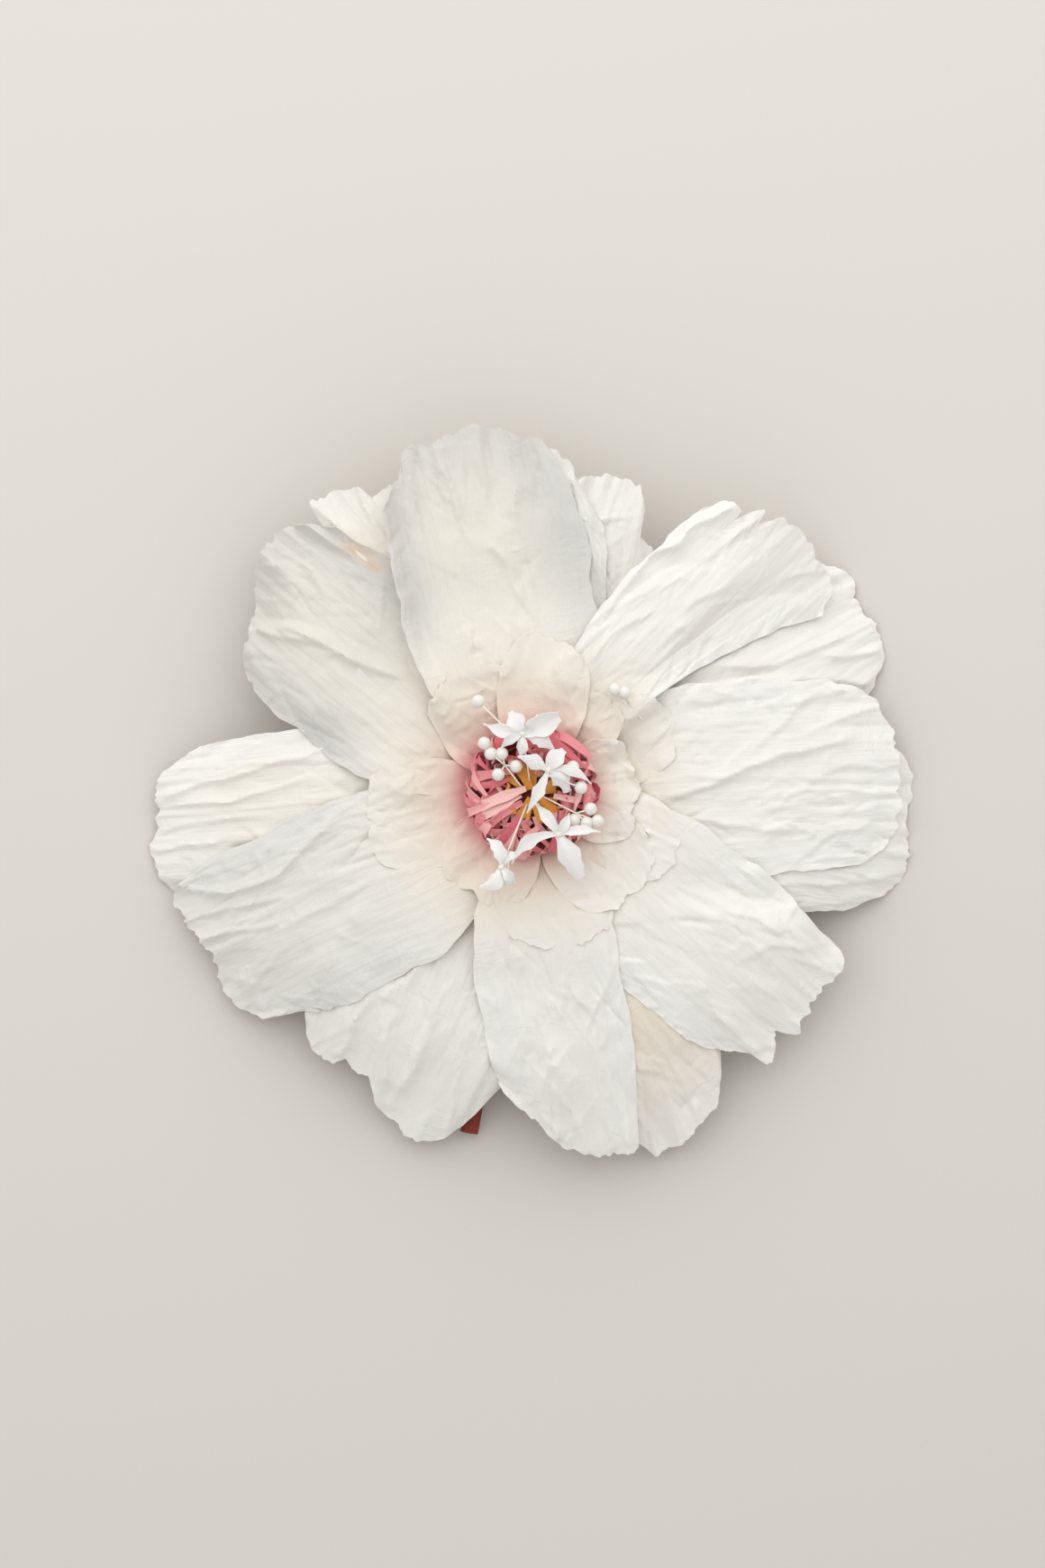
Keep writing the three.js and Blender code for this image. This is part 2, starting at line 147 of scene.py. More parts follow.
# Colours as they look in even light, except the painted shade: the warm tint, the gap line, the fringe's
# foot and the core
WHITE = (242, 239, 232)
CREAM = (238, 231, 215)
# painted warm shade: the peach tone of paper lying in the shade of the petals over it
WARM_SHADE = (233, 217, 197)
# painted shadow: an orange-brown line along the shaded gap between two upper petals
GAP_SHADE = (222, 182, 146)
GAP_SHADE_STRENGTH = 0.7
GAP_SHADE_WIDTH = 2.4
HEART_CENTRE = (-2.6, 0.5)
HEART_TINTS = [(13.5, (234, 168, 164)), (15.4, (235, 191, 182)), (17.8, (234, 209, 193)),
               (24, (235, 223, 207)), (32, (238, 231, 218)), (44, (240, 236, 227))]
PINKS = [(240, 190, 184), (236, 168, 167), (228, 142, 146), (216, 112, 122)]
# painted shade: the dark red of the deep part of the fringe, on its band and the feet of its blades
FRINGE_FOOT_SHADE = (156, 64, 62)
OCHRES = [(220, 148, 62), (228, 162, 78)]
# painted shade: the core's dark red-brown is the colour of the shaded gaps between the fringe's strips
CORE_SHADE_RED = (146, 60, 50)
STEM_RED = (138, 52, 40)
WIRE_GREY = (143, 143, 140)
SEPAL_GREEN = (141, 148, 104)
BLOSSOM_WHITE = (238, 236, 232)
BUD_WHITE = (234, 231, 224)
TABLE = (217, 212, 204)

# Radii between which a tint fades in or out
HEART_END = (30, 50)
PALE_START = (16, 26)
CREAM_START = (25, 40)
CREAM_END = (60, 88)
WARM_SHADE_END = (70, 95)
USUAL_CREAM = 0.15

# Crepe in the material, on a cut whose unit is 100 mm
CUT_UNIT = 100
GRAIN_SCALE = (75, 8, 1)
GRAIN_DEPTH = 0.4 * MM
STROKE_SCALE = (24, 70, 1)
STROKE_WAVER = 0.6
STROKE_STRENGTH = 0.6
STROKE_PATCH_SCALE = 7
STROKE_PATCH_RANGE = (0.48, 0.66)
ROUGH_DEPTH = 0.5 * MM
PAPER_ROUGHNESS = 0.9
PAPER_SHINE = 0.15
PAPER_GLOW_RADIUS = (1.0, 0.85, 0.65)
PAPER_GLOW_DEPTH = 1.2 * MM
SMALL_GLOW_RADIUS = (1, 0.95, 0.85)
SMALL_GLOW_DEPTH = 0.8 * MM

# Stage and camera
TABLE_HALF = 2.5
WINDOW_PLACE = (-0.06, 0.43, 0.5)
WINDOW_SIZE = (1.5, 1)
WINDOW_POWER = 4.6
ROOM_LIGHT = 0.67
PIXELS_PER_MM = 4.7
PICTURE = (1160, 1740)
FLOWER_PIXEL = (590, 880)
CAMERA_HEIGHT = 0.85
FOCUS_HEIGHT = 0.012
NEAREST = 0.01
SENSOR = 36

# Petals, as in the solid model. Tips and creases are (x, y) points on the flower seen from above.
# A crease is (points from its faint end to its strong end, height, width).
# A petal's factor that makes its white lighter or darker is painted light and shade, for how its face turns
# to the light.
GUARD_PETALS = [
    dict(turn=-8, reach=92, left=25, right=20, level=0.8, fullness=4, rests=True,
        tip=[(88.7, 8.5), (91.1, 3.2), (89.5, -5.7), (90.2, -15.4), (87.8, -21.6), (79.8, -26.2)],
        creases=[([(50, -21), (70, -22), (88, -20)], 0.7, 3)]),
    dict(turn=27, reach=92, left=21, right=20, level=1.6, fullness=4, rests=True,
        tip=[(70.9, 55.1), (76.7, 51.1), (77.1, 46.6), (78.9, 44), (82.4, 40.4), (84.2, 36), (83.8, 30.7),
            (80.6, 24)],
        creases=[([(37, 29.8), (56.7, 29.8), (72.7, 36)], 1.2, 3.5),
            ([(31.9, 24), (46.1, 26.2), (57.6, 28.9)], -1.2, 4), ([(52, 25), (66, 27), (80, 26)], 0.9, 3),
            ([(68, 33), (74, 32), (82, 34)], 1.6, 2.5)]),
    dict(turn=74, reach=78.5, left=18, right=18, level=0.8, fullness=4, painted_light_and_tone=0.9,
        tip=[(10.5, 72.8), (13.9, 74.7), (21.7, 73.7), (25.5, 72.8), (26.5, 66), (25.5, 60.6)],
        creases=[([(26.5, 65), (16, 63.5), (8, 63)], 0.8, 1.6), ([(12, 50), (13, 62), (12, 72)], 1, 3)]),
    dict(turn=90, reach=84, left=20, right=18, level=2.4, fullness=4, painted_light_and_tone=0.88,
        tip=[(1.8, 80.5), (4.3, 81), (7.1, 78.5), (10, 76.6), (12, 70)],
        creases=[([(12, 61), (6, 64), (-2, 63.5)], 0.8, 1.6), ([(3, 52), (5, 66), (5, 78)], 1.2, 3),
            ([(8, 50), (10, 62), (10, 74)], -1.2, 3)]),
    dict(turn=124, reach=86, left=20, right=21, level=1.6, fullness=4, cream=0.7, painted_light_and_tone=0.9,
        tip=[(-52.8, 61.1), (-51.9, 67.9), (-48.5, 60.2), (-41.3, 72.8), (-37.3, 68.9), (-31.5, 72.8)],
        creases=[([(-36, 52), (-43, 58), (-50, 66)], 1.6, 3), ([(-30, 52), (-36, 62), (-41, 72)], 1.6, 3)]),
    dict(turn=-176, reach=92, left=25, right=19, level=0.8, fullness=4, rests=True, cream=0.6,
        tip=[(-89.2, 2.4), (-90.3, -2.9), (-89.2, -9.6), (-91.1, -13.1), (-90.1, -18.4), (-86.6, -22.3)],
        creases=[([(-40, 13), (-64.4, 5.5), (-86, -0.5)], 1.4, 3),
            ([(-50, 4), (-71.5, -2.2), (-88.3, -3.2)], 1.2, 2.5),
            ([(-60, -5), (-76, -6.5), (-88.3, -8.7)], 1.1, 2.5),
            ([(-66, -10), (-78, -12), (-90, -14)], 0.9, 2.5)]),
    dict(turn=-113, reach=86, left=26, right=31, level=1.3, fullness=3,
        tip=[(-55.3, -51.2), (-53.7, -58.3), (-49.4, -63.6), (-44, -63.6), (-38.7, -67.2), (-36.9, -75.1),
            (-31.6, -78.7), (-29.8, -81.4), (-22.8, -83), (-16.5, -79.6), (-6.8, -68.1)],
        creases=[([(-38, -48), (-42.2, -54.8), (-44.9, -61.9)], 1.5, 3),
            ([(-32, -48), (-34.3, -58.3), (-34.7, -68)], 1.7, 3),
            ([(-20, -49.5), (-26.2, -62.8), (-33.4, -74)], 1.5, 3.5),
            ([(-15, -58), (-17.4, -69.8), (-20, -80)], 1.3, 3),
            ([(-18.3, -43.2), (-24, -55), (-29.8, -70)], 1, 3),
            ([(-8, -52), (-10.3, -62.8), (-15.6, -76)], 1.1, 3)]),
    dict(turn=-65, reach=91, left=17, right=19, level=2.4, fullness=4, cream=1, warm_shade=0.4, painted_light_and_tone=1.05,
        tip=[(27, -84), (29.3, -86.2), (32.7, -84.7), (37, -83), (39.9, -78.9), (44.3, -72.6),
            (44.8, -63.4)],
        creases=[([(33, -62), (36.6, -71.2), (41, -80)], 1, 2.5),
            ([(30, -64), (33, -74), (36, -84)], 1.2, 2.5), ([(26, -66), (27, -76), (29, -86)], -1.4, 3)]),
]
MAIN_PETALS = [
    dict(turn=2, reach=89, left=25.5, right=22, level=2.4, fullness=5, left_curl=1.6, painted_light_and_tone=1.02,
        tip=[(82.4, 22.7), (83.3, 19.1), (86.8, 12.5), (87.8, 3.2), (87.2, -5.7), (85.1, -11.9),
            (78.9, -16.3)],
        creases=[([(22, -3.5), (40.8, 1.9), (52.3, 6.8), (73.6, 12.1)], 1.9, 5),
            ([(48.7, 7.2), (57.6, 15.1), (67.4, 23.4)], 0.7, 3),
            ([(63.8, 13.2), (72.7, 17.4), (83, 20.5)], 1.2, 3.5), ([(30, -5), (45, -7.5), (60, -9)], 1, 4),
            ([(63.8, 2.3), (74.5, 6.4), (88, 6.4)], 0.9, 3.5),
            ([(60.2, -17.7), (68.3, -11), (80, -7)], 0.8, 3.5),
            ([(45, 18), (60, 20), (74, 24)], 0.8, 3.5)]),
    dict(turn=46, reach=89, left=19.5, right=23, level=4.8, fullness=5, right_power=2, right_sink=8,
        painted_light_and_tone=0.98, left_curl=-1.2, ruffle=0.6,
        tip=[(45.2, 68.6), (46.4, 67.6), (47.2, 63.9), (49.6, 66.4), (52, 66), (53, 63), (55, 66.2),
            (58.9, 64.8), (64.7, 60.8), (67.4, 55.5), (69.1, 54.2), (71.8, 48), (69.6, 44.9), (68.1, 39.6)],
        creases=[([(12, 35), (20.5, 46), (28.5, 55), (37, 61), (46, 66.5)], 2.6, 4.5),
            ([(8, 30), (19.5, 43.5), (28.4, 49.8), (34, 53)], -0.9, 4),
            ([(33, 41), (37.2, 43.6), (45.2, 48)], 0.8, 3), ([(44, 56), (48, 60), (52.5, 64)], 1, 2.5),
            ([(56, 48), (62, 51), (69, 53)], 0.8, 3)]),
    dict(turn=104, reach=85, left=20, right=27, level=4, fullness=5, cream=0.6, painted_light_and_tone=0.72, left_curl=5,
        right_sink=4,
        tip=[(-31.5, 72.8), (-29.6, 80.4), (-23.8, 81), (-18.9, 84.3), (-12.2, 85.8), (-3.5, 83.4),
            (1.8, 82.6), (5, 79.5)],
        creases=[([(2, 37), (-2.6, 47), (-9, 57)], 1.4, 4),
            ([(-4, 58), (-3.5, 70.8), (-3.5, 83)], 1.6, 3.5), ([(2, 60), (1.5, 68), (1, 79)], -1.6, 2.5),
            ([(-24, 55), (-27, 68), (-27, 79)], -1.6, 3), ([(-13, 56), (-18, 68), (-21, 80)], 1.4, 3),
            ([(-10, 62), (-11, 72), (-12, 84)], 0.9, 3)]),
    dict(turn=141, reach=82, left=24, right=22, level=3.2, fullness=5, cream=0.5, painted_light_and_tone=0.74, crumple=2,
        left_curl=-2, ruffle=3.4, gap_shade=[(-46, 58.5), (-41, 55.5), (-36, 51.5)],
        tip=[(-65.4, 22.4), (-67.9, 31.1), (-66.8, 37), (-64.9, 44.7), (-65.8, 49.6), (-62, 58.3),
            (-58.6, 62.1)],
        creases=[([(-24, 19), (-32, 27), (-45, 33), (-57, 39)], 2.4, 8),
            ([(-47, 43.7), (-51, 52), (-61, 58.3)], 2, 4.5),
            ([(-46, 37), (-54.7, 41), (-64, 42)], -1.8, 3.5), ([(-50, 35), (-56, 36), (-65, 38.9)], 2, 2.2),
            ([(-44, 52), (-50, 58), (-57, 63)], -1.2, 3)]),
    dict(turn=-154, reach=90, left=26.5, right=20, level=2.4, fullness=5, painted_light_and_tone=0.88,
        tip=[(-85.2, -21.1), (-82.1, -30), (-75.4, -38.8), (-74.6, -44.1), (-69.7, -51.2), (-63.5, -53.7),
            (-55.5, -51.1)],
        creases=[([(-38, 0), (-46.6, -7.8), (-54.7, -14.5), (-60.8, -20), (-72, -24), (-85, -22)], 2, 6),
            ([(-56, -24), (-67, -26.4), (-82, -30)], 1.3, 3),
            ([(-58, -31), (-69.7, -32.6), (-80, -35.3)], 1.3, 3),
            ([(-55, -34), (-60, -39), (-67, -46)], 0.8, 4),
            ([(-34, -18), (-46, -26), (-56, -30)], 0.8, 4)]),
    dict(turn=-81, reach=88, left=14.5, right=20, level=4, fullness=6, cream=0.1, painted_light_and_tone=1.02,
        left_curl=-1.4, right_curl=-0.8,
        tip=[(0.8, -77), (7.4, -83.7), (15.3, -86.4), (19.1, -84.7), (25.4, -83.2), (24.9, -75)],
        creases=[([(-2, -38), (3, -55), (7, -70), (7, -82)], 1.3, 3.5),
            ([(11, -48), (14.5, -60), (17, -72), (19, -84)], 1.1, 3),
            ([(17, -60), (20, -72), (23, -83)], 0.8, 2.5), ([(4, -66), (10, -76), (13, -85)], 0.9, 2.5)]),
    dict(turn=-41, reach=87, left=22, right=21, level=3.2, fullness=5, right_curl=-1.2, painted_light_and_tone=1.02,
        tip=[(72.3, -36.4), (73.6, -41.7), (68.5, -46), (64.1, -53.3), (63.6, -57.1), (60.2, -56.7),
            (57.6, -56.2), (58.3, -61.5), (55.4, -64.2), (52, -61.5), (43.3, -60.5)],
        creases=[([(39.5, -45), (44.3, -53), (53, -61)], 1.3, 3),
            ([(46.2, -40.2), (56.8, -35.3), (64, -37)], 0.8, 3.5),
            ([(50, -43), (57, -48), (63.6, -55)], 1.1, 3), ([(58, -38), (64, -40), (73.3, -43)], 0.8, 3),
            ([(34, -22), (46, -27), (58, -32)], 0.8, 4)]),
]
BLUSH_PETALS = [
    dict(turn=2, reach=24, left=12.5, right=12.5, level=7.2, fullness=4, lift=3, ruffle=2.2, pale=0.6),
    dict(turn=30, reach=36, left=11, right=11, level=5.6, settles=5.4, fullness=4),
    dict(turn=60, reach=29, left=11, right=11, level=6.4, settles=6.3, fullness=4),
    dict(turn=84, reach=36, left=11, right=11, level=7.2, settles=6.7, fullness=4),
    dict(turn=122, reach=32, left=12, right=12, level=5.6, settles=4.8, fullness=4),
    dict(turn=-168, reach=39, left=13, right=13.5, level=4.8, settles=3.9, fullness=4),
    dict(turn=-122, reach=27, left=12, right=12, level=7.2, settles=6.4, fullness=4),
    dict(turn=-77, reach=36, left=14, right=14, level=5.6, settles=4.8, fullness=4),
    dict(turn=-43, reach=33, left=12.5, right=12.5, level=6.4, settles=6.1, fullness=4, pale=0.4),
    dict(turn=-23, reach=36, left=10.5, right=10, level=4.8, settles=4, fullness=4, pale=0.6),
]
SEPAL = dict(reach=24, breadth=11, level=-0.3, count=5, first_turn=-64, rounding=(0.1, 0.88))

# The centre. Feet, knees and tips of a fringe are (radius, height over the core's top).
CORE_PROFILE = [(0, 24.3), (1, 24.3), (1, 10.5), (4.7, 10.5), (4.7, 20.2), (8, 23.2), (11, 25.9),
                (11, 26.6), (9.35, 28), (7.5, 28.8), (5.5, 29.5), (3, 29.8), (0, 30)]
CORE_SIDES = 72
FRINGES = [
    dict(node="pink_fringe_outer", foot=(11.9, -2.9), knee=(16.8, 2.2), tip=(9.8, 2.4), blades=64,
        width=2.6, lean=52, slot="pink_paper"),
    dict(node="pink_fringe_inner", foot=(8.6, -0.5), knee=(11.6, 2.9), tip=(7, 2.8), blades=30, width=2.2,
        lean=56, slot="pink_paper"),
    dict(node="ochre_fringe", foot=(4.8, 0.7), knee=(8.2, 2.4), tip=(3, 2.6), blades=15, width=3.4, lean=20,
        slot="ochre_paper"),
]
FRINGE_SEEDS = (75, 72, 73)
BAND = [(-0.5, -0.7), (-0.1, -0.7), (-0.1, 0.7), (-0.5, 0.7)]
BAND_SIDES = 64
BLADE = dict(points=9, jitter=(-0.35, 0.35), rise=(-1.2, 0.9), reach=(-2.6, 2.6), bow=(-2.2, 0.4), start=2,
             knee_lean=0.3, least_radius=0.8, width=(0.4, 1.2), taper=(0.2, 0.8), tilt=(-0.7, 0.7),
             cup=(-0.35, 0.35), painted_light_and_tone=(0.92, 1.06), shaded_foot=(-0.2, 0.45))
# A loose strip is (where it bends over, where it ends, width).
LOOSE_STRIPS = [((-13.5, -3.6), (-1.5, 1.4), 2.4), ((-13, -6), (-2.4, -0.6), 2.2),
                ((-12.5, -8.4), (-2, -2.4), 2.2), ((-14, 3.2), (-4, 5.2), 2),
                ((-13.4, 1.4), (-5, 3.4), 1.6), ((5, 14.5), (13.8, 8), 2), ((3.6, 13.4), (12.6, 5.6), 1.6),
                ((3, 12), (12, 3.4), 1.8), ((12.8, 3), (11.6, -7), 1.8), ((11.4, 4), (10.2, -4), 1.4),
                ((2.4, -2), (6.4, -9), 2.4), ((-8, -12.5), (-3, -5), 1.8), ((4, -14), (7.4, -7), 2)]
LOOSE = dict(points=14, length=10, foot=(11.4, -2.4), knee=(1.6, 1.5), over=(0.3, 4.2), end=3.4,
             ragged=(0.2, 1.6), taper=(0.2, 0.8), tilt=(-0.9, 0.9), roll=(0.4, 3), sway=(0.8, 4),
             cup=(-0.4, 0.4))
RIBBON_PAPER = 0.22
RIBBON_CUP_POWER = 1.3
# The tips of a blossom are (x, y, width).
BLOSSOMS = [
    dict(heart=(-2.1, 13.6), height=36.5, foot=100, buds=[(-12.3, 21.1)],
        tips=[(-11.1, 16, 2.4), (-2.6, 8.3, 2.8), (-4.9, 18.7, 3.6), (6.2, 17.8, 4.6), (5.2, 10, 3.4),
            (-7, 10.4, 2.6), (1.2, 18, 2.4)]),
    dict(heart=(3.8, 5.3), height=37.5, foot=50, buds=[(9.4, 6), (11.3, 1.3)],
        tips=[(-3.2, 8.4, 2.8), (7.4, 9.8, 3.6), (13.6, 2.1, 2.0), (8.2, 0.2, 3.8), (-1.1, -4.5, 2.4)]),
    dict(heart=(6.2, -9.4), height=36.5, foot=-60, buds=[],
        tips=[(0.9, -2.4, 2.8), (15.8, -8.9, 2.2), (11.1, -19.6, 4.6), (-4.6, -16.2, 2.8),
            (8.6, -4.6, 2.2)]),
    dict(heart=(-7, -17), height=36.5, foot=-115, buds=[(-5.4, -19.9)],
        tips=[(-10.3, -10.4, 2.8), (-11.9, -21.4, 3.2), (-2.4, -13.6, 2.0), (-3.6, -20.8, 2.0)]),
]
STAR = dict(points=16, bend=(-0.2, 0.2), arch=0.9, drop=(0.2, 1.5), blunt=(2.4, 4.2), ragged=(0.22, 1.3),
            twist=(-0.7, 0.7), fold=(0.15, 0.5), paper=0.14)
BLOSSOM_SEED = 60
STAR_HEART = 0.8
STAR_FORK = 10  # the point of a blossom's thread where its buds leave it
SPRIGS = [
    dict(buds=[(-10.9, 11.5), (-9.4, 9.1), (-6.9, 9.1), (-7.7, 4.3), (-3.6, 6.2)], height=34.8, foot=160),
    dict(buds=[(13.5, -3.6), (15.1, -6.4), (9.7, -6.2), (12.6, -6.8)], height=34.8, foot=-10),
]
SPRIG_LEAN = 0.8
SPRIG_DROP = 0.5
SIDE_SPRIG = dict(buds=[(19.2, 23.9), (21.4, 23.2)], rise=3.4, start=(25.4, 17.2), towards=(20.6, 23.2),
                  drop=0.4, share=0.6)
THREAD_RADIUS = 0.2
THREAD_RISE = 5
THREAD_ARCH = 1
THREAD_BEND = 0.7  # the share of its way after which a thread comes down again
FORK_ARCH = 1.2
SPRAY_FOOT_RADIUS = 1.8
SPRAY_FOOT_DEPTH = 0.2
BUD_RADIUS = 1.5
BUD_DROP = 1.5


# Colour and noise

def linear(rgb):
    """Linear-light colour of an sRGB triple from 0 to 255."""
    c = np.asarray(rgb, float) / 255
    return np.where(c <= 0.04045, c / 12.92, ((c + 0.055) / 1.055) ** 2.4)


def smooth(x, low, high):
    t = np.clip((x - low) / (high - low), 0, 1)
    return t * t * (3 - 2 * t)


def noise(rng, x, period):
    """Smooth noise from -1 to 1 along x."""
    t = x / period
    t = t - t.min()
    knots = rng.uniform(-1, 1, int(t.max()) + 3)
    i = t.astype(int)
    f = t - i
    f = f * f * (3 - 2 * f)
    return knots[i] * (1 - f) + knots[i + 1] * f


def zigzag(rng, x, period):
    """Folded noise from -1 to 1 along x, straight between its corners."""
    corners = np.arange(x.min() - period, x.max() + 2 * period, period)
    corners = corners + rng.uniform(-CORNER_JITTER, CORNER_JITTER, len(corners)) * period
    return np.interp(x, corners, rng.uniform(-1, 1, len(corners)))


def waves(form, rng, x, kinds):
    """Noises of one form along x, one for each (height, spacing)."""
    return sum(height * form(rng, x, spacing) for height, spacing in kinds)


def noise2(rng, x, y, px, py):
    """Smooth noise from -1 to 1 over x and y, with its own period each way."""
    tx, ty = x / px, y / py
    tx, ty = tx - tx.min(), ty - ty.min()
    knots = rng.uniform(-1, 1, (int(tx.max()) + 3, int(ty.max()) + 3))
    i, j = tx.astype(int), ty.astype(int)
    fx, fy = tx - i, ty - j
    fx, fy = fx * fx * (3 - 2 * fx), fy * fy * (3 - 2 * fy)
    low = knots[i, j] * (1 - fx) + knots[i + 1, j] * fx
    high = knots[i, j + 1] * (1 - fx) + knots[i + 1, j + 1] * fx
    return low * (1 - fy) + high * fy


# Meshes

def grid_faces(rows, columns):
    i, j = np.meshgrid(np.arange(rows), np.arange(columns), indexing="ij")
    a = (i * (columns + 1) + j).ravel()
    b = a + columns + 1
    return np.stack([a, b, b + 1, a + 1], axis=1)


def ring_faces(rows, sides, loop=False):
    """Quads between rings of points."""
    i, j = np.meshgrid(np.arange(rows if loop else rows - 1), np.arange(sides), indexing="ij")
    row, next_row = i * sides, (i + 1) % rows * sides
    next_j = (j + 1) % sides
    return np.stack([row + j, row + next_j, next_row + next_j, next_row + j], axis=-1).reshape(-1, 4)


def rim_of(grid):
    """The outermost entries of a grid, once round."""
    return np.concatenate([grid[:-1, 0], grid[-1, :-1], grid[:0:-1, -1], grid[0, :0:-1]])


def add_object(name, data):
    made = bpy.data.objects.new(name, data)
    bpy.context.scene.collection.objects.link(made)
    return made


def piece(name, points, faces, material, colours, uv=None):
    """A mesh object from points in millimetres in the flower's frame."""
    mesh = bpy.data.meshes.new(name)
    placed = np.asarray(points, float) * MM + AXIS
    mesh.from_pydata(placed.tolist(), [], [list(face) for face in faces])
    mesh.polygons.foreach_set("use_smooth", np.ones(len(mesh.polygons), bool))
    tint = mesh.color_attributes.new("tint", "FLOAT_COLOR", "POINT")
    rgba = np.concatenate([colours, np.ones((len(colours), 1))], axis=1)
    tint.data.foreach_set("color", rgba.astype(np.float32).ravel())
    if uv is not None:
        corner = np.empty(len(mesh.loops), np.int32)
        mesh.loops.foreach_get("vertex_index", corner)
        mesh.uv_layers.new(name="cut").data.foreach_set("uv", uv[corner].astype(np.float32).ravel())
    mesh.materials.append(material)
    return add_object(name, mesh)


def show(made, node):
    """The piece stands for a solid of the same name, which it hides."""
    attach(made, "root")
    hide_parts(node)


def sharpen(made):
    """Keep the cut edges of a sheet crisp."""
    made.data.set_sharp_from_angle(angle=math.radians(SHARP_ANGLE))


def solid_sheet(grid, thickness, colour):
    """A closed thin sheet over a grid of points, as (points, faces, tints)."""
    normal = np.cross(np.gradient(grid, axis=0), np.gradient(grid, axis=1))
    normal /= np.linalg.norm(normal, axis=-1, keepdims=True) + 1e-9
    rows, columns = grid.shape[0] - 1, grid.shape[1] - 1
    half = normal * thickness / 2
    points = np.concatenate([(grid + half).reshape(-1, 3), (grid - half).reshape(-1, 3)])
    count = len(points) // 2
    top = grid_faces(rows, columns)
    rim = rim_of(np.arange(count).reshape(rows + 1, columns + 1))
    after = np.roll(rim, -1)
    walls = np.stack([after, rim, rim + count, after + count], axis=1)
    faces = np.concatenate([top, top[:, ::-1] + count, walls])
    tints = np.broadcast_to(colour, grid.shape).reshape(-1, 3)
    return points, faces, np.concatenate([tints, tints])


# Materials

def put(node, **values):
    """Set values on a node's own sockets."""
    for socket, value in values.items():
        node.inputs[socket.replace("_", " ")].default_value = value
    return node


def wire(a, output, b, socket):
    """Link a node's output to a socket of another."""
    a.id_data.links.new(a.outputs[output], b.inputs[socket])


def new_material(name, roughness):
    """A material, its nodes and its shader."""
    material = bpy.data.materials.new(name)
    material.use_nodes = True
    nodes = material.node_tree.nodes
    return material, nodes, put(nodes["Principled BSDF"], Roughness=roughness)


def take_tint(nodes, shader):
    """Colour from the piece's own tint."""
    tint = nodes.new("ShaderNodeVertexColor")
    tint.layer_name = "tint"
    wire(tint, "Color", shader, "Base Color")


def paper_material(name, wrinkle=0.75, glow=0.12):
    """Crepe paper, with fine wrinkles along the grain."""
    material, nodes, shader = new_material(name, PAPER_ROUGHNESS)
    put(shader, Specular_IOR_Level=PAPER_SHINE, Subsurface_Weight=glow,
        Subsurface_Radius=PAPER_GLOW_RADIUS, Subsurface_Scale=PAPER_GLOW_DEPTH)
    take_tint(nodes, shader)
    cut = nodes.new("ShaderNodeUVMap")
    grain = put(nodes.new("ShaderNodeMapping"), Scale=GRAIN_SCALE)
    wrinkles = put(nodes.new("ShaderNodeTexNoise"), Scale=1, Detail=4)
    bump = put(nodes.new("ShaderNodeBump"), Strength=wrinkle, Distance=GRAIN_DEPTH)
    wire(cut, "UV", grain, "Vector")
    wire(grain, "Vector", wrinkles, "Vector")
    wire(wrinkles, "Fac", bump, "Height")
    wire(cross_crinkles(nodes, cut), "Normal", bump, "Normal")
    wire(bump, "Normal", shader, "Normal")
    return material


def cross_crinkles(nodes, cut):
    """Short strokes across the grain, in patches."""
    strokes = put(nodes.new("ShaderNodeMapping"), Scale=STROKE_SCALE)
    stroke = put(nodes.new("ShaderNodeTexNoise"), Scale=1, Detail=2, Distortion=STROKE_WAVER)
    patch = put(nodes.new("ShaderNodeTexNoise"), Scale=STROKE_PATCH_SCALE, Detail=1)
    low, high = STROKE_PATCH_RANGE
    bounds = put(nodes.new("ShaderNodeMapRange"), From_Min=low, From_Max=high)
    both = nodes.new("ShaderNodeMath")
    both.operation = "MULTIPLY"
    bump = put(nodes.new("ShaderNodeBump"), Strength=STROKE_STRENGTH, Distance=ROUGH_DEPTH)
    wire(cut, "UV", strokes, "Vector")
    wire(strokes, "Vector", stroke, "Vector")
    wire(cut, "UV", patch, "Vector")
    wire(patch, "Fac", bounds, "Value")
    wire(stroke, "Fac", both, 0)
    wire(bounds, "Result", both, 1)
    wire(both, "Value", bump, "Height")
    return bump


def plain_material(name, colour, roughness, grain, depth, metallic=0):
    """A plain finish with a little unevenness."""
    material, nodes, shader = new_material(name, roughness)
    put(shader, Base_Color=(*linear(colour), 1), Metallic=metallic)
    place = nodes.new("ShaderNodeTexCoord")
    rough = put(nodes.new("ShaderNodeTexNoise"), Scale=grain)
    bump = put(nodes.new("ShaderNodeBump"), Strength=depth, Distance=ROUGH_DEPTH)
    wire(place, "Object", rough, "Vector")
    wire(rough, "Fac", bump, "Height")
    wire(bump, "Normal", shader, "Normal")
    return material


def tinted_material(name, roughness, grain, depth, glow=0):
    """A finish whose colour comes from the piece's own tint."""
    material = plain_material(name, WHITE, roughness, grain, depth)
    nodes = material.node_tree.nodes
    shader = put(nodes["Principled BSDF"], Subsurface_Weight=glow,
                 Subsurface_Radius=SMALL_GLOW_RADIUS, Subsurface_Scale=SMALL_GLOW_DEPTH)
    take_tint(nodes, shader)
    return material


# What lies highest so far, as a map seen from above

